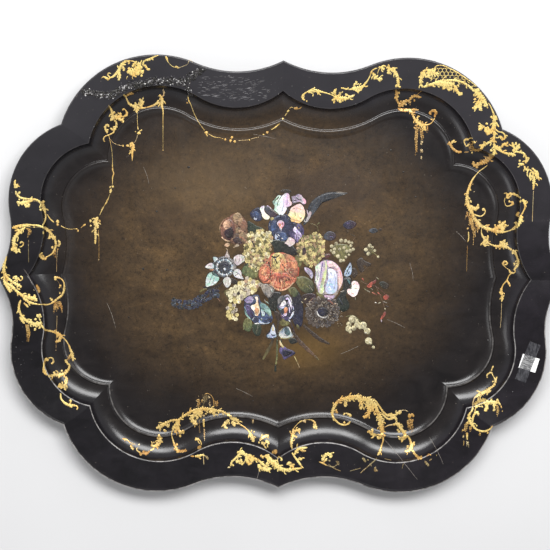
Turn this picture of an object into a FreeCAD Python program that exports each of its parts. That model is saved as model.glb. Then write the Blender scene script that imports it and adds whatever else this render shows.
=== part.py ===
import FreeCAD, Part
import os
from math import atan2, cos, hypot, pi, radians, sin, sqrt

os.makedirs("parts", exist_ok=True)

# Large serving tray in black japanned papier-mache, scalloped rim, with a posy of
# flowers let into the floor in mother-of-pearl. The tray lies flat: +Z up, the table
# at z = 0, the long side along X, the origin on the table under the tray's middle.

# ---- driving dimensions, mm -------------------------------------------------
BODY_T = 4.0        # pressed board with its lacquer
RIM_W = 42.0        # flange, outer edge to the lip of the well
COVE_W = 32.5       # curved wall of the well, lip to floor line
LIP_Z = 23.0        # lip of the well above the table
EDGE_Z = 31.0       # top of the outer edge above the table
EDGE_R = 2.0        # half-round of the outer edge (half the board)
LIP_R = 1.5         # softened lip
BEAD_W = 4.6        # half-round bead along the floor line
BEAD_H = 1.0
PEARL_POCKET = 0.9  # depth the shell slips are let in
PEARL_PROUD = 0.15  # what stands above the lacquer
LABEL_SIZE = (23.5, 20.5)
LABEL_AT = (347.5, -116.7)
LABEL_TURN = -15.5  # degrees
LABEL_T = 0.25
TAPE_SIZE = (15.5, 57.0)
TAPE_AT = (345.7, -115.0)
TAPE_TURN = -19.0
TAPE_T = 0.1

# One quarter of a plan curve: the dip over the long side (centre x, y, radius), the
# long-side lobe (centre x, y), the corner lobe (centre x, y, radius), the dip of the
# short side (centre x, y). The radii left out follow from tangency; the two lobes meet
# in a notch, and each dip meets its mirror image in a cusp on the axis.
EDGE_PLAN = (64, 421, 140, 170, 167, 259, 103, 112, 486, 66)
LIP_PLAN = (64, 331, 99, 166, 162, 247, 102, 81, 435, 66)
FLOOR_PLAN = (61, 335, 135, 166.5, 158.5, 238, 93.5, 62, 446, 42)

FLOOR_AT = RIM_W + COVE_W
COVE_H = LIP_Z - BODY_T


def plan_at(w):
    """Plan curve w mm in from the outer edge."""
    if w <= RIM_W:
        a, b, t = EDGE_PLAN, LIP_PLAN, w / RIM_W
    else:
        a, b, t = LIP_PLAN, FLOOR_PLAN, min(1.0, (w - RIM_W) / COVE_W)
    p = [u + (v - u) * t for u, v in zip(a, b)]
    beyond = max(0.0, w - FLOOR_AT)
    p[2] += beyond
    p[7] -= beyond
    return p


def arc_points(c, r, start, end):
    """Start, middle and end of the shorter arc about c."""
    a = atan2(start[1] - c[1], start[0] - c[0])
    b = atan2(end[1] - c[1], end[0] - c[0])
    turn = (b - a + pi) % (2 * pi) - pi
    m = a + turn / 2
    return start, (c[0] + r * cos(m), c[1] + r * sin(m)), end


def quarter(w):
    """The four arcs of the first quadrant, from the Y axis round to the X axis."""
    x1, y1, r1, x2, y2, x3, y3, r3, x4, y4 = plan_at(w)
    r2 = hypot(x1 - x2, y1 - y2) - r1
    r4 = hypot(x3 - x4, y3 - y4) - r3
    top = (0.0, y1 - sqrt(r1 ** 2 - x1 ** 2))
    side = (x4 - sqrt(r4 ** 2 - y4 ** 2), 0.0)
    k = r1 / (r1 + r2)
    flow_1 = (x1 + (x2 - x1) * k, y1 + (y2 - y1) * k)
    k = r3 / (r3 + r4)
    flow_2 = (x3 + (x4 - x3) * k, y3 + (y4 - y3) * k)
    gap = hypot(x3 - x2, y3 - y2)
    ux, uy = (x3 - x2) / gap, (y3 - y2) / gap
    along = (r2 ** 2 - r3 ** 2 + gap ** 2) / (2 * gap)
    out = sqrt(r2 ** 2 - along ** 2)
    notch = (x2 + along * ux - out * uy, y2 + along * uy + out * ux)
    return [arc_points((x1, y1), r1, top, flow_1), arc_points((x2, y2), r2, flow_1, notch),
            arc_points((x3, y3), r3, notch, flow_2), arc_points((x4, y4), r4, flow_2, side)]


def ring(w, z):
    """Closed wire of sixteen arcs at height z."""
    first = quarter(w)
    arcs = list(first)
    arcs += [[(x, -y) for x, y in reversed(arc)] for arc in reversed(first)]
    arcs += [[(-x, -y) for x, y in arc] for arc in first]
    arcs += [[(-x, y) for x, y in reversed(arc)] for arc in reversed(first)]
    edges = [Part.Arc(*[FreeCAD.Vector(x, y, z) for x, y in arc]).toShape() for arc in arcs]
    return Part.Wire(edges)


def flange_z(w):
    """Upper face of the flange, rising from the lip to the outer edge."""
    return EDGE_Z - (EDGE_Z - LIP_Z) * w / RIM_W


def cove(thick, first, last, steps):
    """Quarter ellipse of the well's wall, pushed out by thick; angles from the lip."""
    points = []
    for i in range(steps + 1):
        f = radians(first + (last - first) * i / steps)
        points.append((FLOOR_AT - (COVE_W + thick) * cos(f), LIP_Z - (COVE_H + thick) * sin(f)))
    return points


# ---- tray body --------------------------------------------------------------
# The profile runs (w, z) from the middle of the table side, out under the flange,
# round the edge and back in over the flange, the lip, the cove and the bead.
under_cove = list(reversed(cove(BODY_T, 9.0, 90.0, 9)))
edge_mid = EDGE_Z - EDGE_R
rounded_edge = [(EDGE_R * (1 - cos(a)), edge_mid + EDGE_R * sin(a))
                for a in [radians(d) for d in (-80, -50, -20, 10, 40, 70, 88)]]
lip = [(RIM_W - LIP_R, flange_z(RIM_W - LIP_R)), (RIM_W - 0.45, LIP_Z - 0.15),
       (RIM_W + 0.02, LIP_Z - LIP_R)]
top_cove = cove(0.0, 9.0, 86.0, 9)
half = BEAD_W / 2
bead = [(FLOOR_AT - half * cos(a), BODY_T + BEAD_H * sin(a))
        for a in [radians(d) for d in (12, 45, 90, 135, 180)]]


def skin(points, ruled=False):
    return Part.makeLoft([ring(w, z) for w, z in points], False, ruled, False).Faces


faces = [Part.Face(ring(*under_cove[0]))]
faces += skin(under_cove)
faces += skin([under_cove[-1], rounded_edge[0]], True)
faces += skin(rounded_edge)
faces += skin([rounded_edge[-1], lip[0]], True)
faces += skin(lip)
faces += skin([lip[-1], top_cove[0]], True)
faces += skin(top_cove)
faces += skin([top_cove[-1], bead[0]], True)
faces += skin(bead)
faces += [Part.Face(ring(*bead[-1]))]
shell = Part.makeShell(faces)
shell.sewShape()
body = Part.Solid(shell)
if body.Volume < 0:
    body.reverse()

# ---- mother-of-pearl slips --------------------------------------------------
# Each slip was cut by eye with a fret saw, so each has its own outline: a smooth closed
# curve through a few points. The posy from the top: crown flower, small blue flower,
# violet, lilac, star flower, rosebud, buds and leaves, bindweed, anemone and bells.
SLIPS = {
    "crown_left": [(-1, 84.5), (4, 86), (7, 91), (9.5, 95.5), (15, 99.5), (13.5, 105),
                   (12, 109), (10, 115), (5, 115), (1, 112), (-4, 112.5), (-7.5, 108.5),
                   (-12, 102.5), (-9, 97), (-10, 92.5), (-5.5, 88)],
    "crown_back": [(16.5, 101.2), (20, 102.2), (27, 102.8), (30, 100.2), (33.5, 100.5),
                   (34.5, 106), (31, 109), (28, 113), (23.5, 114.5), (19, 112), (14, 110.5),
                   (15.2, 105.5)],
    "crown_right": [(9.5, 86), (12, 90), (13, 94.5), (17.5, 97.5), (21.5, 100), (27, 100.6),
                    (30.5, 97.6), (33, 92), (33, 83), (29, 76), (23, 73.5), (17, 75.5),
                    (11, 75.5), (13.5, 80.5)],
    "crown_side": [(34.8, 94), (38, 91.5), (41.5, 90.5), (42, 85), (39, 79), (34.5, 74.5),
                   (31.8, 76), (35.2, 83), (35.4, 89)],
    "blue_flower": [(-26.5, 97), (-22.5, 97.5), (-23, 91.5), (-19, 86), (-15, 81),
                    (-19.5, 78), (-25.5, 81.5), (-27.5, 88)],
    "blue_flower_tip": [(-37.5, 81.5), (-35, 82), (-32.5, 79), (-34, 77.5), (-37, 78.5)],
    "violet_heart": [(-5.5, 72), (-3.5, 77), (0.5, 77.8), (4.5, 75), (4.2, 69.5), (1.8, 66),
                     (0.5, 62.5), (-1.5, 65), (-3, 69)],
    "violet_foot": [(-8.5, 53), (-4.5, 59), (-2, 57), (-1, 53.5), (2, 51.5), (-1.5, 49.5),
                    (-5.5, 50.3)],
    "lilac_upper": [(18, 68), (20.5, 69.5), (22.5, 66), (26, 62.5), (29.5, 57), (27, 50),
                    (23.5, 46.5), (21.8, 50), (22, 56), (19.5, 60.5)],
    "lilac_lower": [(5.5, 46.5), (8.5, 50), (11.5, 54.5), (16, 53.5), (19.5, 51), (20, 46),
                    (16.5, 42.5), (12.5, 40.5), (9.5, 43)],
    "star_west": [(-104.5, 12), (-100.5, 16), (-95, 17.5), (-91.5, 14), (-92.5, 10),
                  (-97.5, 9)],
    "star_southwest": [(-103.5, -15.5), (-103, -5), (-99, 3), (-94, 4.5), (-88.5, 0),
                       (-84.5, -3), (-87.5, -10), (-93.5, -14)],
    "star_south": [(-79.5, -9), (-78, -4), (-74, -2), (-69.5, -3.5), (-67.8, -9),
                   (-69.5, -14), (-74, -17.5), (-77.5, -13.5)],
    "star_east": [(-65.5, 2.5), (-64, 7.5), (-59, 9.5), (-54.5, 6.5), (-53, 0), (-50.5, -5),
                  (-57, -4.5), (-63, -2)],
    "star_northeast": [(-65.5, 21.5), (-63.5, 27), (-57, 29.5), (-51, 27.5), (-48.5, 22.5),
                       (-54, 17), (-60, 14), (-63.2, 17)],
    "star_north": [(-79, 26), (-76, 30), (-74, 35.5), (-71.5, 30), (-70, 25.5),
                   (-74.5, 24.8)],
    "star_northwest": [(-93.5, 25.5), (-90, 26), (-86, 23.8), (-88.5, 20), (-91.5, 18),
                       (-92.7, 21.5)],
    "rose_heart": [(67, 10.5), (71.5, 11), (77, 7), (78.8, 1), (79.2, -7), (80, -15),
                   (77.5, -22), (71.5, -25), (65, -23.5), (63, -16), (66, -6), (66.5, 3)],
    "rose_left": [(50, 15), (54, 17.5), (58, 20.5), (62.5, 22.5), (65, 18), (64.8, 9),
                  (63.6, -4), (61, -13), (61.5, -22), (58, -25), (53.8, -22.5),
                  (52, -14.5), (48.8, -10), (50, 0), (49.2, 8)],
    "rose_right": [(66.5, 22), (71, 21.5), (77, 18), (82.5, 11.5), (85.5, 4.5), (87, -3),
                   (86.3, -10), (83.8, -16), (82, -19), (82, -12), (81.2, -5), (80.8, 2.5),
                   (79, 9), (72.5, 13.2), (67, 13.2)],
    "rose_foot": [(61.5, -27.2), (66, -26.4), (71, -27.2), (76, -26.6), (75.5, -29.5),
                  (72.5, -32), (67, -32), (64, -30)],
    "leaf_bud": [(88.5, 3), (91, 10), (94, 15.5), (97.5, 20), (99.5, 14), (99.7, 7),
                 (96.5, 1), (92, -0.5)],
    "pink_bud": [(99.5, -12), (100.5, -7), (104.5, -5.8), (109, -9), (111, -15),
                 (109.5, -21), (106.5, -27), (101.5, -29), (97.5, -26.5), (93.5, -22),
                 (94.5, -17.5), (98, -17)],
    "small_leaf": [(33.5, 12.5), (38, 12), (42.5, 9), (45.5, 4.5), (45.8, 0), (43.8, -4),
                   (40.5, 0.5), (37, 4), (34, 8)],
    "bindweed_star": [(-41, -43), (-37, -40.5), (-34, -39), (-33.5, -34), (-35, -30),
                      (-31.5, -29), (-30, -36), (-28.5, -43), (-27.4, -49), (-29.5, -55),
                      (-33, -57), (-36, -51), (-39.5, -47)],
    "bindweed_crown": [(-50, -33.5), (-46.5, -30), (-41, -28.5), (-37.5, -30), (-36.5, -34.5),
                       (-38.5, -38.2), (-42.5, -39.8), (-46.5, -38.5)],
    "bindweed_east": [(-25.5, -46.5), (-21.5, -48), (-20.5, -53), (-21.5, -57.5),
                      (-25, -58), (-25.5, -52.5)],
    "bindweed_south": [(-31, -61.5), (-27, -61), (-22, -62.5), (-16, -62), (-11.5, -60.5),
                       (-12, -64.5), (-17, -68), (-23, -68.5), (-28.5, -66.5)],
    "bindweed_west": [(-48.5, -43), (-45.5, -43), (-42.8, -46.5), (-39.8, -50.5),
                      (-38, -55), (-36.5, -60), (-40, -59.5), (-44.5, -54.5), (-48, -49)],
    "anemone_left": [(-1.5, -43.5), (1.5, -38.5), (4, -35.5), (7.5, -35), (9.5, -38.5),
                     (8, -43), (5, -46.2), (2, -46)],
    "anemone_right": [(8, -31), (11.5, -30), (15, -35), (16.8, -41), (16.5, -48),
                      (14.2, -53), (12.6, -49), (12.8, -42), (11.5, -36)],
    "anemone_foot": [(7.5, -48), (10, -46.5), (10.8, -51), (9.5, -56), (6, -59),
                     (4.5, -55), (6.3, -51.5)],
    "anemone_side": [(12, -60), (15, -56), (19, -50.5), (20, -53.5), (17, -58), (13.5, -61.5)],
    "grey_petal": [(-24, -13), (-20, -11), (-16.5, -12), (-12.5, -15.5), (-7.5, -20),
                   (-8.5, -24), (-12.5, -27), (-15.5, -31.5), (-19, -28), (-20.5, -21.5),
                   (-23, -17)],
    "bell_left": [(-9, -68.5), (-6.5, -73), (-5.5, -79), (-4, -86), (-7.5, -87.5),
                  (-12.5, -88), (-18, -84), (-14, -80.5), (-12.5, -76), (-11, -71)],
    "bell_right": [(6, -73), (9, -71.5), (14, -72.5), (16, -77), (18.5, -84.5),
                   (14.5, -87.5), (8, -89), (2.5, -87.5), (-1.5, -82.5), (2.5, -77)],
}
STAR_EYE = (-77.5, 11.5, 12.0)  # round slip under the star flower's painted eye: x, y, radius


def slip(outline):
    """Prism of a smooth closed outline, from the pocket's floor to the slip's face."""
    curve = Part.BSplineCurve()
    curve.interpolate([FreeCAD.Vector(x, y, BODY_T - PEARL_POCKET) for x, y in outline],
                      PeriodicFlag=True)
    face = Part.Face(Part.Wire([curve.toShape()]))
    return face.extrude(FreeCAD.Vector(0, 0, PEARL_POCKET + PEARL_PROUD))


pearls = {name: slip(outline) for name, outline in SLIPS.items()}
x, y, r = STAR_EYE
pearls["star_eye"] = Part.makeCylinder(r, PEARL_POCKET + PEARL_PROUD,
                                       FreeCAD.Vector(x, y, BODY_T - PEARL_POCKET))
tray = body.cut(list(pearls.values()))


# ---- lot label and the clear tape that holds it -----------------------------
def patch(size, at, turn, thick, base):
    """Thin sheet of the given size that follows the top of base."""
    prism = Part.makeBox(size[0], size[1], 40, FreeCAD.Vector(-size[0] / 2, -size[1] / 2, 10))
    prism.rotate(FreeCAD.Vector(0, 0, 0), FreeCAD.Vector(0, 0, 1), turn)
    prism.translate(FreeCAD.Vector(at[0], at[1], 0))
    raised = prism.common(base)
    raised.translate(FreeCAD.Vector(0, 0, thick))
    return raised.cut(base)


label = patch(LABEL_SIZE, LABEL_AT, LABEL_TURN, LABEL_T, tray)
tape = patch(TAPE_SIZE, TAPE_AT, TAPE_TURN, LABEL_T + TAPE_T, tray).cut(label)

nodes = {"tray_body": tray, "lot_label": label, "label_tape": tape}
nodes.update({"pearl_" + name: shape for name, shape in pearls.items()})
for name, shape in nodes.items():
    solids = shape.Solids
    assert len(solids) == 1 and solids[0].isValid(), name
    solids[0].exportStep("parts/%s.step" % name)
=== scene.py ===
import math
import random

import bpy
import numpy as np
from mathutils import Matrix, Vector
from mathutils.bvhtree import BVHTree


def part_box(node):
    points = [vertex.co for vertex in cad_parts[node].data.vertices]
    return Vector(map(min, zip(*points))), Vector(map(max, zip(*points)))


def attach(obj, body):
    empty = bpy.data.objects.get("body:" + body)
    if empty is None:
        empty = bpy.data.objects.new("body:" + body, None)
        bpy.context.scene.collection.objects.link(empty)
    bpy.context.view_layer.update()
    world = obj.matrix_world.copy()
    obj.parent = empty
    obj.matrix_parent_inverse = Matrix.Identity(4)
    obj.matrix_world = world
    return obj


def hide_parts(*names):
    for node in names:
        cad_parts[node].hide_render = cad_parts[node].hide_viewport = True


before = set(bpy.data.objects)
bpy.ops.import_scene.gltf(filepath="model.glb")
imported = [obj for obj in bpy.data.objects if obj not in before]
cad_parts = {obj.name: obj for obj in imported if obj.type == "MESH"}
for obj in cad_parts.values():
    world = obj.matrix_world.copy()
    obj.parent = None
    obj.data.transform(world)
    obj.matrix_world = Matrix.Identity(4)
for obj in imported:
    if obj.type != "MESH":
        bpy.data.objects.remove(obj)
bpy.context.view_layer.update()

# A black japanned papier-mache tray. Metres; the tray's own profile and plan are in
# millimetres below and are the same as the solid model's.
MM = 0.001
BODY_T = 4.0
RIM_W = 42.0
COVE_W = 32.5
LIP_Z = 23.0
EDGE_Z = 31.0
EDGE_R = 2.0
FLOOR_AT = RIM_W + COVE_W
COVE_H = LIP_Z - BODY_T
BEAD_HALF = 2.3
BEAD_H = 1.0
ARC_STEPS = 48  # points to each of the sixteen arcs of the outline
FLOOR_RINGS = 30  # rings of points inside the bead, closing on the middle

EDGE_PLAN = (64, 421, 140, 170, 167, 259, 103, 112, 486, 66)
LIP_PLAN = (64, 331, 99, 166, 162, 247, 102, 81, 435, 66)
FLOOR_PLAN = (61, 335, 135, 166.5, 158.5, 238, 93.5, 62, 446, 42)


# ---------------------------------------------------------------- tray body
def plan_at(w):
    """One quarter of the plan curve w mm in from the outer edge."""
    if w <= RIM_W:
        a, b, t = EDGE_PLAN, LIP_PLAN, w / RIM_W
    else:
        a, b, t = LIP_PLAN, FLOOR_PLAN, min(1.0, (w - RIM_W) / COVE_W)
    p = [u + (v - u) * t for u, v in zip(a, b)]
    beyond = max(0.0, w - FLOOR_AT)
    p[2] += beyond
    p[7] -= beyond
    return p


def arc(c, r, start, end, n):
    a = math.atan2(start[1] - c[1], start[0] - c[0])
    b = math.atan2(end[1] - c[1], end[0] - c[0])
    turn = (b - a + math.pi) % (2 * math.pi) - math.pi
    t = a + turn * np.linspace(0, 1, n + 1)
    return np.c_[c[0] + r * np.cos(t), c[1] + r * np.sin(t)]


def quarter(w, n):
    """First quadrant of the plan curve: 4n + 1 points from the Y axis to the X axis."""
    x1, y1, r1, x2, y2, x3, y3, r3, x4, y4 = plan_at(w)
    r2 = math.hypot(x1 - x2, y1 - y2) - r1
    r4 = math.hypot(x3 - x4, y3 - y4) - r3
    top = (0.0, y1 - math.sqrt(r1 ** 2 - x1 ** 2))
    side = (x4 - math.sqrt(r4 ** 2 - y4 ** 2), 0.0)
    k1, k2 = r1 / (r1 + r2), r3 / (r3 + r4)
    flow_1 = (x1 + (x2 - x1) * k1, y1 + (y2 - y1) * k1)
    flow_2 = (x3 + (x4 - x3) * k2, y3 + (y4 - y3) * k2)
    gap = math.hypot(x3 - x2, y3 - y2)
    ux, uy = (x3 - x2) / gap, (y3 - y2) / gap
    along = (r2 ** 2 - r3 ** 2 + gap ** 2) / (2 * gap)
    out = math.sqrt(r2 ** 2 - along ** 2)
    notch = (x2 + along * ux - out * uy, y2 + along * uy + out * ux)
    parts = [arc((x1, y1), r1, top, flow_1, n), arc((x2, y2), r2, flow_1, notch, n),
             arc((x3, y3), r3, notch, flow_2, n), arc((x4, y4), r4, flow_2, side, n)]
    return np.vstack([p[:-1] for p in parts] + [parts[-1][-1:]])


def ring(w, n):
    """Closed plan curve, 16n points, clockwise from the middle of the far side."""
    q = quarter(w, n)
    flip = q[::-1]
    return np.vstack([q, flip[1:] * (1, -1), q[1:] * (-1, -1), flip[1:-1] * (-1, 1)])


def flange_z(w):
    return EDGE_Z - (EDGE_Z - LIP_Z) * w / RIM_W


def cove(thick, first, last, steps):
    f = np.radians(np.linspace(first, last, steps + 1))
    return list(zip(FLOOR_AT - (COVE_W + thick) * np.cos(f),
                    LIP_Z - (COVE_H + thick) * np.sin(f)))


def profile():
    """(w, z) stations from the table side, round the edge, to the floor inside the bead."""
    pts = cove(BODY_T, 90, 9, 14)
    edge_mid = EDGE_Z - EDGE_R
    w_in, z_in = pts[-1]
    pts += [(w_in + (EDGE_R - w_in) * t, z_in + (edge_mid - EDGE_R - z_in) * t)
            for t in np.linspace(0.1, 0.98, 8)]
    pts += [(EDGE_R * (1 - math.cos(a)), edge_mid + EDGE_R * math.sin(a))
            for a in np.radians(np.linspace(-80, 88, 9))]
    pts += [(w, flange_z(w)) for w in np.linspace(EDGE_R + 1.2, RIM_W - 2.2, 26)]
    pts += [(RIM_W - 1.5, flange_z(RIM_W - 1.5)), (RIM_W - 0.9, LIP_Z + 0.1),
            (RIM_W - 0.4, LIP_Z - 0.2), (RIM_W - 0.05, LIP_Z - 0.8), (RIM_W + 0.03, LIP_Z - 1.6)]
    pts += cove(0.0, 9, 86, 26)
    pts += [(FLOOR_AT - BEAD_HALF * math.cos(a), BODY_T + BEAD_H * math.sin(a))
            for a in np.radians(np.linspace(10, 180, 9))]
    return pts


def add_mesh(name, verts, faces, smooth=True):
    me = bpy.data.meshes.new(name)
    me.from_pydata([tuple(v) for v in verts], [], faces)
    me.validate()
    me.polygons.foreach_set("use_smooth", [smooth] * len(me.polygons))
    ob = bpy.data.objects.new(name, me)
    bpy.context.scene.collection.objects.link(ob)
    return ob


def tray_mesh(name, n):
    """Rings of points from the table side over the edge and down to the middle of the floor."""
    rows = [np.c_[ring(w, n), np.full(16 * n, z)] for w, z in profile()]
    last = rows[-1]
    for k in np.linspace(0.96, 0.04, FLOOR_RINGS):
        rows.append(last * (k, k, 1))
    count = 16 * n
    verts = np.vstack(rows + [[[0, 0, BODY_T]]])
    faces = []
    for i in range(len(rows) - 1):
        a, b = i * count, (i + 1) * count
        faces += [(a + j, a + (j + 1) % count, b + (j + 1) % count, b + j) for j in range(count)]
    tip = len(verts) - 1
    a = (len(rows) - 1) * count
    faces += [(a + j, a + (j + 1) % count, tip) for j in range(count)]
    faces.append(tuple(range(count)))  # the flat underside
    ob = add_mesh(name, verts * MM, faces)
    me = ob.data
    me.polygons[len(faces) - 1].use_smooth = False
    # the sixteen arcs meet sharply at the four cusps and the four notches
    sharp = set(range(0, 16 * n, 2 * n))
    flags = []
    for e in me.edges:
        i, j = e.vertices
        flags.append(i % count == j % count and i % count in sharp and i // count < len(profile()))
    attr = me.attributes.new("sharp_edge", "BOOLEAN", "EDGE")
    attr.data.foreach_set("value", flags)
    return ob


body = tray_mesh("japanned_body", ARC_STEPS)
body_tree = BVHTree.FromObject(body, bpy.context.evaluated_depsgraph_get())
DOWN = Vector((0, 0, -1))


def height(x, y):
    """Height in mm of the board at a place on it."""
    hit = body_tree.ray_cast(Vector((x * MM, y * MM, 0.06)), DOWN)[0]
    return hit.z / MM if hit else EDGE_Z


# ---------------------------------------------------------------- brush strokes
def between(a, b, c, d, steps):
    """Catmull-Rom points from b towards c, with their neighbours a and d."""
    return [0.5 * (2 * b + (c - a) * t + (2 * a - 5 * b + 4 * c - d) * t * t
                   + (3 * b - a - 3 * c + d) * t ** 3) for t in np.arange(steps) / steps]


def spline(pts, step):
    """Catmull-Rom through rows of numbers, about one row every step mm, with distances."""
    p = np.asarray(pts, float)
    if len(p) == 2:
        p = np.vstack([p[0], (p[0] + p[1]) / 2, p[1]])
    p = np.vstack([2 * p[0] - p[1], p, 2 * p[-1] - p[-2]])
    out = []
    for a, b, c, d in zip(p[:-3], p[1:-2], p[2:-1], p[3:]):
        out += between(a, b, c, d, max(2, int(math.hypot(*(c - b)[:2]) / step + 0.5)))
    out = np.array(out + [p[-2]])
    return out, np.r_[0, np.cumsum(np.hypot(*np.diff(out[:, :2], axis=0).T))]


def around(n):
    """n directions, evenly round a full turn."""
    return np.linspace(0, 6.28, n + 1)[:-1]


def oval(x, y, rx, ry, n):
    return [(x + rx * math.cos(a), y + ry * math.sin(a)) for a in around(n)]


def inside(x, y, corners):
    """Whether a place lies within an outline."""
    hit = False
    for (ax, ay), (bx, by) in zip(corners, corners[1:] + corners[:1]):
        if (ay > y) != (by > y) and x < (bx - ax) * (y - ay) / (by - ay) + ax:
            hit = not hit
    return hit


class Relief:
    """Collects thin raised paint, laid on the board, into one mesh with a colour per point."""
    # section of a stroke: place across it, and height (-1: let into the board)
    ACROSS = ((-1.0, -1), (-1.0, 0.10), (-0.55, 0.8), (0.0, 1.0), (0.55, 0.8), (1.0, 0.10),
              (1.0, -1))

    def __init__(self, seed):
        self.verts, self.faces, self.tints = [], [], []
        self.rng = random.Random(seed)
        self.count = 0

    def lift(self):
        """A slightly different base height for each touch of the brush, so that none coincide."""
        self.count += 1
        return 0.07 + 0.016 * (self.count % 7)

    def stroke(self, pts, tint, thick=0.16, step=0.9, wobble=0.10, tint_2=None, leafy=0.0):
        """A raised stroke through rows of x, y and width, changing from tint to tint_2."""
        line, along = spline(pts, step)
        total = along[-1]
        # the brush starts and ends in a rounded touch
        cap = np.minimum(np.maximum(line[:, 2], 0.8) * 0.6, total * 0.35)
        near_end = np.clip(np.minimum(along, total - along) / np.maximum(cap, 1e-6), 0, 1)
        phase = self.rng.uniform(0, 6.28)
        sway = 1 + wobble * np.sin(along * 0.9 + phase) * np.cos(along * 0.37 + phase * 2)
        half = 0.5 * line[:, 2] * sway * np.sqrt(1 - (1 - near_end) ** 2 + 0.02)
        left = right = np.ones(len(line))
        if leafy:  # broad strokes are acanthus leaves, lobed along both sides
            depth = np.clip((line[:, 2] - 1.2) / 3, 0, 1) * 0.62
            left = 1 - depth * (1 - np.abs(np.sin(along * leafy + phase)))
            right = 1 - depth * (1 - np.abs(np.sin(along * leafy * 0.83 + phase * 3)))
        d = np.gradient(line[:, :2], axis=0)
        d /= np.maximum(np.hypot(d[:, 0], d[:, 1]), 1e-9)[:, None]
        base = self.lift()
        first = len(self.verts)
        n = len(self.ACROSS)
        for k, ((x, y, _), h, (tx, ty)) in enumerate(zip(line, half, d)):
            f = along[k] / total if total else 0
            shade = tint if tint_2 is None else [u + (v - u) * f for u, v in zip(tint, tint_2)]
            zs = {}
            for u, up in self.ACROSS:
                h_u = h * (left[k] if u > 0 else right[k])
                px, py = x - ty * h_u * u, y + tx * h_u * u
                if u not in zs:
                    zs[u] = height(px, py)
                z = zs[u] + (-0.05 if up < 0 else base + up * min(thick, h * 0.3))
                self.verts.append((px, py, z))
                self.tints.append(shade)
            if k:
                a, b = first + (k - 1) * n, first + k * n
                self.faces += [(a + i, b + i, b + i + 1, a + i + 1) for i in range(n - 1)]
        last = first + (len(line) - 1) * n
        self.faces.append(tuple(range(first, first + n)))
        self.faces.append(tuple(range(last + n - 1, last - 1, -1)))

    def make(self, name, material, slot):
        ob = add_mesh(name, np.array(self.verts) * MM, self.faces)
        tint = ob.data.color_attributes.new("tint", "FLOAT_COLOR", "POINT")
        tint.data.foreach_set("color", [c for t in self.tints for c in (*t, 1.0)])
        ob.data.materials.append(material)
        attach(ob, "root")
        return ob


def strokes(text):
    """The kind and the rows of x, y and width of every brush stroke in a text."""
    for part in text.split(";"):
        part = part.strip()
        if part:
            kind = part[0] if part[0].isalpha() else ""
            yield kind, [tuple(float(v) for v in p.split(",")) for p in part.lstrip("fpd").split()]


def loop_of(outline, step=1.6):
    """A smooth closed curve through the given corners."""
    p = np.asarray(outline, float)
    n, out = len(p), []
    for i in range(n):
        a, b, c, d = p[i - 1], p[i], p[(i + 1) % n], p[(i + 2) % n]
        out += between(a, b, c, d, max(2, int(math.hypot(*(c - b)) / step + 0.5)))
    return np.array(out)


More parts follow.
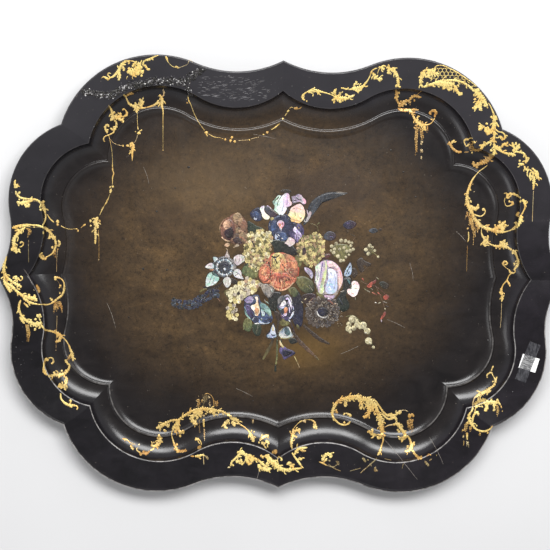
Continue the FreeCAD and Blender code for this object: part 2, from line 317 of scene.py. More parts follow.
class Paint(Relief):
    """Oil colours: filled petals and leaves as well as strokes, in layers over the shell."""
    # from the outline in to the middle: share of the outline, and height (-1: let in)
    RINGS = ((1.0, -1), (1.0, 0.0), (0.8, 0.7), (0.5, 1.0), (0.22, 1.0))
    level = 0

    def lift(self):
        self.count += 1
        return 0.05 + 0.08 * self.level + 0.011 * (self.count % 6)

    def patch(self, outline, tint, tint_2, streak=0.16, thick=0.05):
        """A filled, streaked touch, shaded from the outline's first corner to the far side."""
        base = self.lift()
        p = loop_of(outline)
        c = p.mean(0)
        axis = p[np.argmax(np.hypot(*(p - p[0]).T))] - p[0]
        phase = self.rng.uniform(0, 6.28)
        first, n = len(self.verts), len(p)
        for k, up in self.RINGS + ((0.0, 1.0),):
            for i, q in enumerate(p if k else p[:1]):
                x, y = c + (q - c) * k
                f = min(1, max(0, float(np.dot((x, y) - p[0], axis) / np.dot(axis, axis))))
                wave = 1 + streak * k * math.sin(i * 2.1 + phase) - 0.12 * (k == 1.0)
                self.verts.append((x, y, height(x, y) + (-0.05 if up < 0 else base + up * thick)))
                self.tints.append([(u + (v - u) * f) * wave for u, v in zip(tint, tint_2)])
        for r in range(len(self.RINGS) - 1):
            a, b = first + r * n, first + (r + 1) * n
            self.faces += [(a + i, a + (i + 1) % n, b + (i + 1) % n, b + i) for i in range(n)]
        a, tip = first + (len(self.RINGS) - 1) * n, first + len(self.RINGS) * n
        self.faces += [(a + i, a + (i + 1) % n, tip) for i in range(n)]

    def line(self, pts, tint, tint_2=None):
        self.stroke(pts, tint, 0.05, 1.2, 0.18, tint_2=tint_2)

    def petal(self, x, y, turn, long, wide, tint, tint_2):
        """One small petal growing from a point."""
        ux, uy = math.cos(turn), math.sin(turn)
        shape = ((0, 0.12), (0.45, 0.5), (0.85, 0.42), (1, 0), (0.85, -0.42), (0.45, -0.5),
                 (0, -0.12))
        self.patch([(x + long * a * ux - wide * b * uy, y + long * a * uy + wide * b * ux)
                    for a, b in shape], tint, tint_2)

    def pick(self, *names):
        return PIGMENTS[self.rng.choice(names)]

    def floret(self, x, y, r, petals, tints, eye):
        turn = self.rng.uniform(0, 6.28)
        tint = self.rng.choice(tints)
        pale = [min(1, 1.35 * v) for v in tint]
        for k in range(petals):
            self.petal(x, y, turn + 6.283 * k / petals, r * self.rng.uniform(0.85, 1.15),
                       r * 0.95, tint, pale)
        self.line([(x - r * 0.14, y, r * 0.3), (x + r * 0.14, y, r * 0.3)], eye)

    def berry(self, x, y, r, tint):
        edge = oval(x, y, r, r, 7)
        lit, dark = [min(1, 1.3 * v) for v in tint], [0.6 * v for v in tint]
        self.patch(edge[2:] + edge[:2], lit, dark, 0.04)

    def cluster(self, count, outline, r, petals, tints, eye):
        """Florets scattered inside an outline, kept a little apart."""
        x0, y0 = np.min(outline, 0)
        x1, y1 = np.max(outline, 0)
        placed, tries = [], 0
        while len(placed) < count and tries < 4000:
            tries += 1
            x, y = self.rng.uniform(x0, x1), self.rng.uniform(y0, y1)
            apart = all(math.hypot(x - u, y - v) > r * 1.25 for u, v in placed)
            if apart and inside(x, y, outline):
                placed.append((x, y))
        for x, y in placed:
            self.floret(x, y, r * self.rng.uniform(0.85, 1.15), petals, tints, eye)


# ---------------------------------------------------------------- materials
class Nodes:
    """Short-hand for building a node tree."""

    def __init__(self, name):
        self.mat = bpy.data.materials.new(name)
        self.mat.use_nodes = True
        self.tree = self.mat.node_tree
        self.shader = self.tree.nodes["Principled BSDF"]
        coords = self.tree.nodes.new("ShaderNodeTexCoord")
        self.at = coords.outputs["Object"]

    def link(self, a, b):
        self.tree.links.new(a, b)

    def put(self, socket, value):
        if isinstance(value, bpy.types.NodeSocket):
            self.link(value, socket)
        else:
            socket.default_value = value

    def done(self, **inputs):
        """Sets inputs of the shader, such as Base_Color=colour, and gives the material."""
        for name, value in inputs.items():
            self.put(self.shader.inputs[name.replace("_", " ")], value)
        return self.mat

    def attribute(self, name, output):
        n = self.tree.nodes.new("ShaderNodeAttribute")
        n.attribute_name = name
        return n.outputs[output]

    def math(self, op, a, b=0.0):
        n = self.tree.nodes.new("ShaderNodeMath")
        n.operation = op
        for s, v in zip(n.inputs, (a, b)):
            self.put(s, v)
        return n.outputs[0]

    def times(self, a, b):
        return self.math("MULTIPLY", a, b)

    def add(self, a, b):
        return self.math("ADD", a, b)

    def length(self, dx, dy):
        return self.math("SQRT", self.add(self.times(dx, dx), self.times(dy, dy)))

    def noise(self, scale, detail=4.0, rough=0.5, stretch=(1, 1, 1), seed=(0, 0, 0), distort=0.0):
        m = self.tree.nodes.new("ShaderNodeMapping")
        self.link(self.at, m.inputs["Vector"])
        m.inputs["Scale"].default_value = stretch
        m.inputs["Location"].default_value = seed
        n = self.tree.nodes.new("ShaderNodeTexNoise")
        self.link(m.outputs[0], n.inputs["Vector"])
        n.inputs["Scale"].default_value = scale
        n.inputs["Detail"].default_value = detail
        n.inputs["Roughness"].default_value = rough
        n.inputs["Distortion"].default_value = distort
        return n.outputs["Fac"]

    def ramp(self, fac, *stops):
        n = self.tree.nodes.new("ShaderNodeValToRGB")
        self.put(n.inputs[0], fac)
        els = n.color_ramp.elements
        while len(els) < len(stops):
            els.new(0.5)
        for e, (p, c) in zip(els, stops):
            e.position = p
            e.color = (*c, 1.0)
        return n.outputs[0]

    def smooth(self, value, low, high, out_low=0.0, out_high=1.0):
        n = self.tree.nodes.new("ShaderNodeMapRange")
        n.interpolation_type = "SMOOTHSTEP"
        self.put(n.inputs["Value"], value)
        for key, v in zip(("From Min", "From Max", "To Min", "To Max"),
                          (low, high, out_low, out_high)):
            n.inputs[key].default_value = v
        return n.outputs[0]

    def mix(self, fac, a, b, mode="MIX"):
        n = self.tree.nodes.new("ShaderNodeMix")
        n.data_type = "RGBA"
        n.blend_type = mode
        self.put(n.inputs[0], fac)
        for s, v in ((n.inputs[6], a), (n.inputs[7], b)):
            self.put(s, v if isinstance(v, bpy.types.NodeSocket) else tuple(v) + (1.0,))
        return n.outputs[2]

    def darken(self, fac, a, b):
        return self.mix(fac, a, b, "MULTIPLY")

    def bump(self, height, strength, distance):
        n = self.tree.nodes.new("ShaderNodeBump")
        self.put(n.inputs["Height"], height)
        n.inputs["Strength"].default_value = strength
        n.inputs["Distance"].default_value = distance
        self.link(n.outputs[0], self.shader.inputs["Normal"])

    def split(self):
        n = self.tree.nodes.new("ShaderNodeSeparateXYZ")
        self.link(self.at, n.inputs[0])
        return n.outputs

    def spot(self, x, y, rx, ry, edge=0.5):
        """1 inside an ellipse (mm) in plan, fading to 0 over the outer share edge."""
        px, py, _ = self.split()
        dx = self.times(self.add(px, -x * MM), 1 / (rx * MM))
        dy = self.times(self.add(py, -y * MM), 1 / (ry * MM))
        return self.smooth(self.length(dx, dy), 1 - edge, 1, 1, 0)


def lacquer():
    """Black japan with a sponged bronze cloud in the well, painted shade and light from side to
    side and a painted sheen along the far flange, rubbed with age, the near edges also lightened as
    a painted highlight.
    """
    m = Nodes("black_japan")
    coarse = m.noise(8, 5, 0.55, seed=(3, 1, 0))
    mottle = m.noise(30, 6, 0.62, stretch=(0.7, 1.3, 1), seed=(1, 4, 0), distort=0.5)
    fine = m.noise(170, 6, 0.68, seed=(7, 2, 0))
    px, py, pz = m.split()

    # the black: painted shade on the left and painted light on the right, warmer in the well, with
    # a painted sheen along the far flange
    black = m.ramp(mottle, (0.3, ink(22, 21, 23)), (0.7, ink(36, 34, 37)))
    # painted shade and light: the left side darkened, the right side lightened
    east = m.smooth(px, -0.40, 0.40, 0.0, 1.0)
    black = m.mix(east, m.darken(1.0, black, (0.75, 0.75, 0.78)),
                  m.darken(1.0, black, (1.05, 1.0, 1.08)))
    well = m.smooth(pz, 0.006, 0.012, 1.0, 0.0)
    black = m.mix(well, black, m.ramp(mottle, (0.3, ink(25, 23, 24)), (0.7, ink(38, 35, 35))))
    # painted sheen: a lighter grey reflection along the far flange, broken up by noise
    far_flange_sheen = m.smooth(py, -0.05, 0.27, 0.0, 1.0)
    flange = m.smooth(pz, 0.0222, 0.0236)
    far_flange_sheen = m.times(far_flange_sheen, m.times(flange, m.add(0.35, coarse)))
    black = m.mix(m.times(far_flange_sheen, 0.75), black, ink(54, 53, 56))

    # the cloud: a ragged oval a little left of and beyond the middle, in metres
    dx = m.times(m.add(px, 0.016), 1 / 0.305)
    dy = m.times(m.add(py, -0.024), 1 / 0.248)
    out = m.add(m.length(dx, dy), m.times(m.math("SUBTRACT", coarse, 0.5), 0.42))
    out = m.add(out, m.times(m.math("SUBTRACT", mottle, 0.5), 0.16))
    cloud = m.times(m.smooth(out, 0.50, 1.02, 1.0, 0.0), m.smooth(pz, 0.012, 0.020, 1.0, 0.0))

    bronze = m.ramp(m.add(m.times(mottle, 0.55), m.times(coarse, 0.45)),
                    (0.34, ink(49, 39, 29)), (0.50, ink(69, 55, 38)), (0.66, ink(89, 70, 46)))
    grain = m.ramp(fine, (0.30, (0.42, 0.42, 0.44)), (0.46, (0.95, 0.95, 0.95)),
                   (0.58, (1.05, 1.04, 1.03)), (0.70, (1.6, 1.55, 1.46)))
    bronze = m.darken(1.0, bronze, grain)
    speck = m.ramp(m.noise(520, 3, 0.6, seed=(4, 4, 0)), (0.32, (0.35, 0.34, 0.36)),
                   (0.45, (1, 1, 1)), (0.60, (1, 1, 1)), (0.72, (1.6, 1.55, 1.5)))
    bronze = m.darken(0.8, bronze, speck)
    for place, share, shade in (((-105, 125, 130, 80, 0.95), 0.35, (96, 79, 58)),
                                ((40, -105, 80, 45, 0.9), 0.35, (112, 86, 42)),
                                ((65, 118, 120, 60, 0.9), 0.55, (52, 42, 36)),
                                ((115, -30, 130, 110, 0.95), 0.30, (52, 42, 32)),
                                ((-150, 75, 60, 40, 0.9), 0.45, (56, 45, 36))):
        bronze = m.mix(m.times(m.spot(*place), share), bronze, ink(*shade))
    colour = m.mix(cloud, black, bronze)

    # pits and rubbed flecks, then the worn-through grey of the edges, which on the near side also
    # stands for a painted highlight
    pits = m.smooth(m.noise(330, 3, 0.6, seed=(5, 9, 0)), 0.30, 0.24)
    colour = m.mix(m.times(pits, 0.7), colour, ink(12, 10, 10))
    rub = m.smooth(m.noise(210, 6, 0.72, seed=(2, 6, 0)), 0.655, 0.72)
    colour = m.mix(m.times(rub, 0.35), colour, ink(150, 140, 128))
    broken = m.smooth(m.noise(90, 5, 0.65, seed=(6, 6, 0)), 0.42, 0.56)
    bare_and_lit = m.times(m.attribute("worn", "Fac"), m.add(0.35, m.times(broken, 0.6)))
    colour = m.mix(bare_and_lit, colour, ink(172, 168, 165))

    smear = m.noise(22, 6, 0.68, stretch=(1.5, 0.8, 1), seed=(8, 0, 0), distort=0.8)
    gloss = m.add(0.13, m.add(m.times(smear, 0.20), m.times(cloud, 0.12)))
    m.bump(m.add(m.times(fine, 0.4), m.times(mottle, 0.6)), 0.22, 0.0006)
    return m.done(Base_Color=colour, Roughness=gloss, Specular_IOR_Level=0.42)


def mark_wear(ob, n):
    """Worn and lit share of each ring of points: the outer edge, the lip and the bead's crest,
    partly wear and partly a painted highlight.
    """
    share = []
    for w, z in profile():
        edge = 0.8 if z > EDGE_Z - 1.5 and w < 1.6 else 0.0
        lip = max(0.0, 1 - abs(w - (RIM_W - 0.6)) / 0.9) if z > LIP_Z - 1.4 else 0.0
        bead = z < BODY_T + BEAD_H + 0.05 and w > FLOOR_AT - 2
        crest = 0.42 * max(0.0, 1 - abs(w - FLOOR_AT) / 1.2) if bead else 0.0
        share.append(max(edge, lip, crest))
    values = np.repeat(share + [0.0] * FLOOR_RINGS, 16 * n)
    y = np.array([v.co.y for v in ob.data.vertices][:-1])
    # kept mostly to the near side, where it stands for a painted highlight on edges that catch the
    # light
    values *= 0.08 + 0.92 * np.clip((0.02 - y) / 0.12, 0, 1)
    attr = ob.data.attributes.new("worn", "FLOAT", "POINT")
    attr.data.foreach_set("value", np.r_[values, 0.0].astype(np.float32))


def ink(r, g, b):
    """A colour from its usual 0 to 255 mix."""
    return [(v / 255) ** 2.2 for v in (r, g, b)]


mark_wear(body, ARC_STEPS)
body.data.materials.append(lacquer())
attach(body, "root")
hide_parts("tray_body")


# ---------------------------------------------------------------- gilt scrollwork
# Brush strokes as x,y,width in mm, parted by semicolons; f faded, p pale, d dull.
GILT = {
    "gilt_far_left": """
-244.5,269.5,.8 -242,271.5,1.8 -239,270.5,3 -235.5,268.5,3.2 -233.5,271,2.5 -236,274,2
-235,276.5,1.5 -231.5,276,1.2; -233,270.5,1.5 -229,272,3 -225,276,4 -221.5,280,5 -219,285,5
-215.5,290,4.5 -210,293,3 -207,290.5,2 -209,289,1.5; -222,279,3 -220,274,4 -221,269,3.5
-223,267.5,1.5; -217,286,4 -214,281.5,3 -216,280,2; -209,293.5,1.5 -203,293,1.5 -199,292,1;
-211,279,5 -205,278.5,8 -198,280,12 -194,285,10 -195,292,4; -209,284,4 -206,281,5; -203,285,4
-200,290,4 -197,293,3; -207,275,4 -200,276.5,6 -193,277,8; -192,280,8 -188,277.5,6; -192,275,5
-190,272.5,3; -209.5,273,1.5 -211,270,1.3 -210.5,268,.8; -201.5,274,1.5 -203.5,271,1 -202,268.5,1;
-189,289,3 -187.5,293,2.5 -184,294.5,3 -179,296,3.5 -174,299,2.5 -168,301,1; -190,288.5,3
-186,287,3.5 -184,284,3 -181.5,281.5,3 -180,283.5,3.5; -177,297,3 -175,294.5,1.5; -158.5,300,2.5
-157,297,3 -155,292,1.3 -150.5,287.5,1 -146,285.5,1.5 -143.5,287,4.5; -144,286,3 -140.5,284.5,2.5;
p-141,285,.8 -135,287,.7 -129,290,.6 -127,295,.6 -125,295.5,.6 -122,292,.6; -216,247,2.5
-213.5,246,3 -211.5,240.5,2.2 -208.5,235,3.5 -203,232,4.5 -198.5,229,7 -199,225,4 -198.5,223,1;
f-212,246,2 -207,249,4 -202.5,249,3; -199,229,4 -200,234,4.5 -201,237.5,2; -197,229,4
-193.5,231.5,5 -192,236,5.5 -193,240.5,4 -196,240.5,2; -191,237,4 -188.5,238.5,3; -195,229.5,3
-188,230,2 -182,231.5,2 -176,233.5,3 -171,236.5,4 -167.5,238,5; -169,247,3 -166,246,3.5 -164,241,5
-165,236,5.5 -164,231,3.5 -163,226,2 -163,215,1.2 -163,203,.9 -163,190,.6 -163,173,.6; -168,238,4
-171,240,3; -163,206,1.4 -163,204.5,1.6; -163,173,1.8 -163,172,1.8; p-163,245,2 -161.5,251,1.8
-163,257,1.2; -198,223,.9 -198,212,.9 -197.5,205,1.2 -197,200,2.2; -198.5,195.5,3 -196,195.5,4.5
-193.5,195,3; -201,198,2 -200,197,1.5; -235.5,234,1 -233.5,229,2.5 -231.5,222,5 -231.5,216,5
-234.5,212,3; -231,217,6 -226,216.5,7 -222,217,7 -220.5,221,4 -222,223,2; -228,222,4 -230,225,2;
-224,214,5 -219.5,213.5,4 -217.5,211.5,3.5 -219,209.5,2; -219,217.5,1 -215,218.5,3 -212,221.5,3.5
-213.5,226,2 -216.5,228.5,1.8 -218,226,2.5; -228,213,1.5 -226.5,208,3 -227.5,203,4.5 -231,200,4
-235,202,2; -229,201,2.5 -231,196,1.8 -236,193,2 -242,190.5,1.5 -244,187,2 -242.5,183,1.5;
-238.5,195,4 -241,200,3 -241.5,204,3.5 -238.5,206.5,3 -236.5,203.5,2.5; -240,199,3 -237,200,2;
""",
    "gilt_far_festoon": """
-237,192,1 -235,183,.8 -233,172,.7 -232,158,.7 -232,146,1.8 -230.5,140,1.6 -232,134,1.6
-232,124,.8; p-232,158.5,1.8 -232,157,1.8; -236.5,122,2.5 -234.5,120.5,3.5; -233,121,3
-230.5,123,4; -234,119,3.5 -234.8,115,3.5 -235.5,112.5,2; -235.5,112,.7 -237,108,.7 -240,101,2.4
-243,96,.8 -246,91,1.8 -250,82,.8; p-237,190,.7 -233,184,.8 -227,180,.8 -219,178,1;
-218.5,177.5,3.5 -216.5,178,4; -213,179.5,3 -211,178,4 -209.5,178,2; -208,176,2 -207,181,3
-204.5,181,4 -204,176,6 -205,171,4.5 -205,163,2.2 -205,157,1; -207.5,172,2.5 -208,169,1.5;
p-202,182,.8 -199,188,.9 -198,193,1; -252,80,3 -254,77,6 -256,73,7 -254,68,7 -252,64,4; -256,66,4
-256,60,4.5 -255.5,53,3.5 -256,47,3 -256,42,1.5; f-251,76,3 -249,72,2.5; f-252,62,1 -251,50,.8
-251,40,.7 -251,30,.7 -251,21,.8; p-251,21,2 -251,19.5,2; -321,84,1 -317,77,1.8 -312,72,1.5;
-308,75.5,4.5 -307,71,5.5; -309,70,4 -306,68,3.5; -303,67,1.8 -297,64,1.1 -290,62.5,.9 -284,63,.9
-280.5,63,2.5; -281,60.5,3.5 -278.5,60.5,3; -276,64.5,.9 -271,68.5,2.5 -269,69.5,4.5; -264,74.5,5
-260.5,74,3.5; -263.5,67.5,4 -261,67.5,3; -129,248,1.8 -128,241,2 -125,235,1.2 -120,222,1
-114,211,1 -106,200,1.2; f-131,238,3 -129,237,2; -106,196.5,3 -103.5,198,4 -103,195,3;
-101,195.5,1.2 -93,191.5,1.2 -85,190.5,.8 -80,188.5,.9; -79,188,3 -76,188,3.5; -70,192,3.5
-67.5,190,4; -72,186,4 -69,187,4.5; -66.5,186.5,4 -63.5,184.5,4; p-60,187,.8 -52,187.5,.8
-46,188,.9; -44.8,189,2 -44.5,186.8,2; p-43,189,.8 -37,190.8,.8 -31,192,.8; -26.5,195.5,2
-24,195.5,1.8; f-22,198,4 -18.5,199,4.5; -15,202,1.3 -11,204.5,1.6 -9.5,205.5,2.5 -6,208.5,1.6
-3,211,1.1; 0,216.5,2 1.5,218.5,3; 3.5,221,1.2 6.5,225.5,1.5; 6.5,226.5,2.2 9,229.5,3.2;
9.5,231.5,1.3 12.5,233.3,1.3 15,232.5,1.2; f15.5,231.5,3 18.5,232,5 21,231.5,3; f21,231,1.4
24,232,1.6 26,234.5,1.2;
""",
    "gilt_far_middle": """
33,241.5,2.5 31.5,243,2; 30,243.5,1.5 27.5,245,3 26,248.5,3.5 28,251.5,2.5 33,255,2 39,258.5,2;
34,253.5,2.5 40,256.5,5.5 47,256,4.5 54,254.5,2.5 60,253,1.8 66,251,1.8 69,249.5,2.5; 39,259.5,1.5
43,257,3; 40,248.5,2.5 41,252,1.5; 47,251,2.5 47.5,255,2.5; 68,249,3 73,246.5,8 80,246,8
87,246.5,5 92,248.5,3 97,251,1.5; 71,250,4 69.5,255,4.5 71,259,3; 70.5,258.5,3 72.5,258.5,2;
76,249,5 77,253,4 77,255,3; 69,246,4 66.5,243,2; 70,244,4 69,239.5,2.5; 76,243.5,3 79.5,241,2.5;
92,249.5,1.5 88,250.5,1.5 85,251.5,2.5 85.5,253.5,2; p88,249,1 94,251,1.2 98,252.5,.8; 78,260.5,2
82,260,2.5 86,259,2.5 88.5,261.5,2.5; 88,258.5,2 92,259,2.5 97,260,6 103,261,5.5 108,263,4
111,267,3 114,271,2.2 117,277,2 118,281,2; 95,262,3 97,266,3 99.5,268.5,2.5 97,269.5,1.5;
97,257.5,2.5 103,257.5,3.5 107,260,3; 101,254.5,1 105,258,1.5; 117.5,279,2.5 119,283,2.5 122,286,2
127,288,1.3; 120.5,282,2 122.5,278.5,5 124,275,6 127,273.5,4.5; 126,276,3 128,278.5,1.5;
126.5,273.5,3 130.5,273,6 134.5,273,3; 130.5,272,2.5 131,269,2; 131,289.5,1.3 128.5,285,1.2
127,280,1.2; 128,288.5,1.5 131,288.5,4 134,287.5,5.5 136,285,3; 132,290.5,2 136,291,2
138.5,289.5,2; 141.5,293,2 142,289,4.5 142,284,4.5 141,280,3; 143,287,6 148,285,6 152,281,5.5
154.5,276,5 155.5,271,4.5 156,266,4.5 156.5,262.5,4; 147,289,3 151,286,3; 144,281,2.5 142,280,1.5;
160,262.5,2 157,263,3; 154,265,3 153,262,2; f153,258,3 156,254,5.5 155.5,249,5.5 157,244,3.5
159.5,239.5,2.5 162,236,3; f153,246.5,3 155,248,3; 158,256,2.5 160,253,1.2; 158.5,250.5,2.5
157,248,3; f159,236,5 163,238.5,8 166,241,7 169,243.5,5 174,243.5,3; f158,233,2.5 163,231.5,5
169,231,5.5 174,231.5,5; f163,244,3 161,241,3; p168.5,238.5,3 170.5,238.5,2.5; f174.5,244,3
174.3,240,2 174,236,2; 173,232.5,3.5 176,230.5,4.5 178.5,226,3.5 181,221,3.5 184,216.5,5.5
188,213,6.5 192,211.5,6.5 196,211,4 200,211.5,2.5 204,213,1.6 207.5,217,1.5 209.5,220.5,2;
f173.5,244,3 176,248,4.5 180,250.5,4.5 184,250,4 188,248.5,4; f190,249,1.5 185,249,3; f183,251.5,1
186,255,1 188,258,1.2; f180,246,3 181,243,2.5; f177,231.5,4 181,232,3.5 185,231.5,2.5
187.5,231,1.3; f179,228,3 183,229,2; f210,221.5,3.5 209.5,224.5,3 211,227.5,4 208,231,4.5
204,229.5,3.5 202,227,2.5 205,225.5,2; 204,219.5,3.5 207,218,2; f213,228,2 210,230,3; 208,233,1.5
207,230.5,2; 189,222,2 187,223,1.5 185.5,219.5,3 187,215.5,4; 193,216,2 192,212,4; f183,212,2.5
186,208,4 185,203,3 185,198,2.5 184.5,192,2 184.5,182,1.3 184.5,168,1; f188,209,3 189,203,2.5;
f181,208,2 184,205,2.5; 195,210,5 196,206,5 198,203,3; f191,206,3 192,200,4.5 193,194,3.5
192.5,190,2; p193,190,3 192.5,186,3.5 193,181,2; p193,178,2.5 192.5,174.5,3.5 193,170.5,2;
p193,168.5,2 192.7,166,2 193,162.5,1; f200,210,2 200,204,2.2 200,199,1.8;
""",
    "gilt_far_right": """
190,263,3.5 196,265,4 202,267,5 209,270,4.5 216,272,4 224,272.5,3.5 231,272.5,3.5 238,271.5,3
244,269.5,3 250,266,3 255,262,3.5 259,258,4.5; 192,286,3 189,282,6 187.5,276,6 186,270,4
187.5,265.5,3 190,262.5,2.5; 187,284,3 186,279,2; 184,272,2 187,270,3; 190,285,4 197,286.5,2.5
203,285.5,2.5 206.5,287,1.3; 193,282,5 198,281.5,6 204,281.5,5 211,281,3; 192,276,4 196,278,4
200,280,4; 190,280,5 193,278,5; 194,284.5,4 200,283.5,5 206,282,4; 205,268,5 212,268,8 219,267,9
226,266.5,9 232,269,7; 217,264,6 219,260.5,5; 226,263,7 228,259,5; 224,260,3.5 226,258.5,3;
232,266,6 235,260,5 238,255.5,4.5 241,253.5,4.5 242.5,256,3; 236,267,3 238,263.5,2.5; 202,266,3
205,264,3; 258,261,5 262,258,8 266,253,10 270,248,9.5 273,244,7 276,240.5,4 278.5,239,2; 260,254,5
258,251.5,4; 261,249,4 259.5,246,4; 266,246,5 263,241,5 261,236,5.5 257,235.5,3.5; 262,237,5
261,232.5,3; 268,244,8 267,238,7 269,233.5,5 271,232.5,3; 272,240,4 276,238,3; 262,262,5
265,259,5; 278,243,1.2 281,239,1.5 283.5,234,1.8 286,228,2.8 287,222,4.5 287.5,216,6 287,210,6.5
285,205,6 282,202,4 278,199.5,2; 282,224.5,4 285,222.5,3; 291,220,2.5 288,226,3; 290,217,2
292,213,2.5 294,210.5,2; 279,214,3.5 276,215.5,3.5; 281,209,8 277,207,7 276.5,203,4; 275,211,4
270,210,8 266.5,211.5,5; 266.5,207,3.5 271,207,5; 286,207,5 281,203.5,5 276.5,202,4; 288,205,5.5
288.5,198,4.5 287,193,4 284,190.5,4 279,187.5,4 274,185,5 268.5,185,2.5; 275,184,6 271,181.5,4;
f274,181,3 270,178.5,5.5 265,178,4 261,180,3; f262,176,2.5 260,180,5 259,185,6 260,189,4;
257,186,4 253.5,183,2 251,187,1.8 250.5,190.5,2.5 253,192.5,3.5 256,191.5,2.5; 259,190,3
264,188.5,3.5; 261,175.5,3 262,172.5,1.5; p264.5,190,2.5 265.5,190.5,2.5; f228,184.5,2.5
231,186.5,4.5 233,183,4.5 236,179,4 240,176,3.5 244,174.5,4.5 248,175,4; f251,174.5,1.5 257,175,1;
233.5,186,3.5 236,189.5,3 238.5,190.5,1.5; 288,196,3 288.5,190,3.5 289,185,4 290,178,4 289,173,5
286,169,6; 284,179.5,3.5 287,177,3; f289,172,5 286,168,8 282,163,8 277,160,6.5 272,158.5,5.5
268,156,5.5 265,158,5 264.5,162,4; f271,155,5 268.5,152.5,3; f279,170,2 280,166,3; f275,164.5,2
276,161,3; f291,162.5,1.5 287.5,163,3; 289,187,3 291,183,4 295,180,4.5 300,178,3; 290,184,4
294,183,5 298,181,3; 299,183,4 302,187,4.5 305.5,187.5,3.5 307,191,2; 297,184,2 299.5,182,3;
296,178.5,2 303,175.5,3 309,174,3.5 314,173.5,5 319,172,3.5; 314,178,7 318,180,8 321,184,5
323,188,3.5; 316,182,5 314,187,3.5 313,190,2; 318,186,5 318,190.5,2.5; 324,184,3 322,182,4;
317,174,4 314,170,2; 290,207,2 294,204,1.8 299,203,2 302,200,2.5 303,196.5,3.5 300,194,4 297,196,3
294,198.5,3.5; 319,177,2.5 324,176.5,3 329,175,3 332,171,3.5 334,166,4.5 332,161.5,3.5;
336.5,168.5,2 335,165,3; 331,160,4 325.5,160,4.5 323,161,3.5; 325,166,3.5 324,163,2; 331,158,2.5
333,154,3 336,152,3.5 338,154,2.5; 341,155,3 343,154,2.5 345,152,3 348,149,3 350,144,3
352,138,2.2; 339,153,2.5 343,148,2.5 343,142,2; 343,150,2.5 347,146,2.5 349,140,1.8; 345,144,4.5
345,137,5 345,131,3.5 344.5,125,1.5; p345,124,.9 345,110,.7 345,95,.7 345,81,.8; p345,80.5,1.5
345,79.5,1.5; 336,152,2 335.5,147,2 336.5,143,1.4; 340.5,150,2.5 339,144,3 341,138,1.8; 348,152,2
351,146,2;
""",
    "gilt_right_scroll": """
284,157,.9 279,152.5,1.4 273,148,1.4 268,142,1.7 263.5,135,2.8 260.5,127,4 258,118,4.5
257.5,110,5.5 259,102,6.5 262,96,6.5 265,91,5 268,84,5 273,78,5 279,72,5 286,69,5.5 293,67,6
300,65,6 306,64.5,5 312,65,2.5 318,67.5,1.7 322,71,2; 262,108,3 264,104.5,2.5; 261,101,5
266,97,6.5 271,96,5.5 273,100,4 273,103,2.5; 273,97,3 275,98.5,2; 268,88.5,2 273,86.5,2 278,86,2
282,89,1.8 283.5,93,1.8 281,95.5,4 279,94,3.5; p264.5,130.5,2.4 265.5,130,2.4; p267,120.5,2
267.3,119.5,2; 320,68,2.5 324,73,4.5 328,79,5 330,86,6.5 329,90,4; 323,77,4 325,80,3; 325,88,3.5
327,94,2; 330,90,2.5 333,96,2 335,102,3.5 333.5,108,4.5 331,112,3.5; 336,110.5,2 334,107,3;
328,107,3 329,111,2; 328.5,113,2.5 324,116.5,3.5 319,118,4 314,117,4.5 313,113,4 316,112,3;
310,112,1.3 309.5,106,1.3 312,101,1.4 316,101,2 320,104,3.5 319,108,4; 314.5,108,3.5 317.5,106,3;
296,66,6 301,70,8 306,73,7 309,77,5 312,80,2; 310,71,6 312,76,3.5; 303,76,4 304.5,80,3; 306,67,8
311,70,5; 298,71,3 297,75,2; f286,71,3 290,74.5,2.5; f259,92,2.5 258,87,3 257,81,2.5; f262,88,3
264,80,5 266,73,4.5 268,66,3.5 268,57,2.5 267.5,48,2.2 267,41,1.3; f268,85,4 271,78,4.5 273,70,3.5
273,61,2; f264,84,4 262,78,3 261,72,2.5; f258.5,69,3 261,68,4; 261,64,2 261.5,56,1.8
260.5,49.5,2.5; f260,45,.7 260,25,.6 260,8,.6; f260,14.5,1.8 260,13,1.8; f260,7,1.8 260,5.8,1.8;
f272,74,3 276,68,2; f269,66,2.5 270,56,1.5; 279,69,1.2 279,63,1.6 281,58,3 284,54,5 287,50,6
290,48,4; 283,53,4 283.5,47,5 286,43.5,3; 287,52,4 288.5,57,3 287.5,59.5,1.5; f291,50,2.5
291.5,51.5,2; 289,48.5,3 294,46,2.5 299,44.5,3.5 304,44,5 309,45.5,7 313,44,6 317,42,3.5
321,40,3.5; 308,47,7 310,51,5 312,54,2; 313,48,3 316,47,1.5; 307,49,3.5 305,51.5,2; 301,42,3.5
299.5,40.5,2; 306,41.5,3 304,40,1.5; 321,40,4 324,37.5,5 326,34,3 328,29,2.5 329.5,24,3.5 329,19,4
327,15,3 325,11,2.5; 322.5,37,4 321.5,34,2.5; 325.5,22,3 324,20.5,2.5; 327,25,2.5 326,23,2;
326,12,1.5 327,9.5,2 324,7,2.2 320,9,3.5 319,11.5,2; 320,11.5,1.1 315,14,1.3 311.5,17.5,1.8
310,20,3 312.5,23,3 316,21.5,2.5 315,19,2.3 312,19,2.3; 322,7,1.6 319,3,1.6 317.5,-1,1.8
315.5,-5,2 312,-9,1.6 310,-14,2.5 309,-18,4.5 310,-23,4 311,-28,4 310,-34,1.5; p310,-35,.9
310,-46,.8 310,-60,.8 309.3,-71,.7; 316,-3,2.5 319,-7,2.8 321,-12,2.2; 306.5,-20,1.8 309,-22,3;
313.5,-24.5,2 311,-26,3; p309,-72.5,1.4 309,-73.5,1.4;
""",
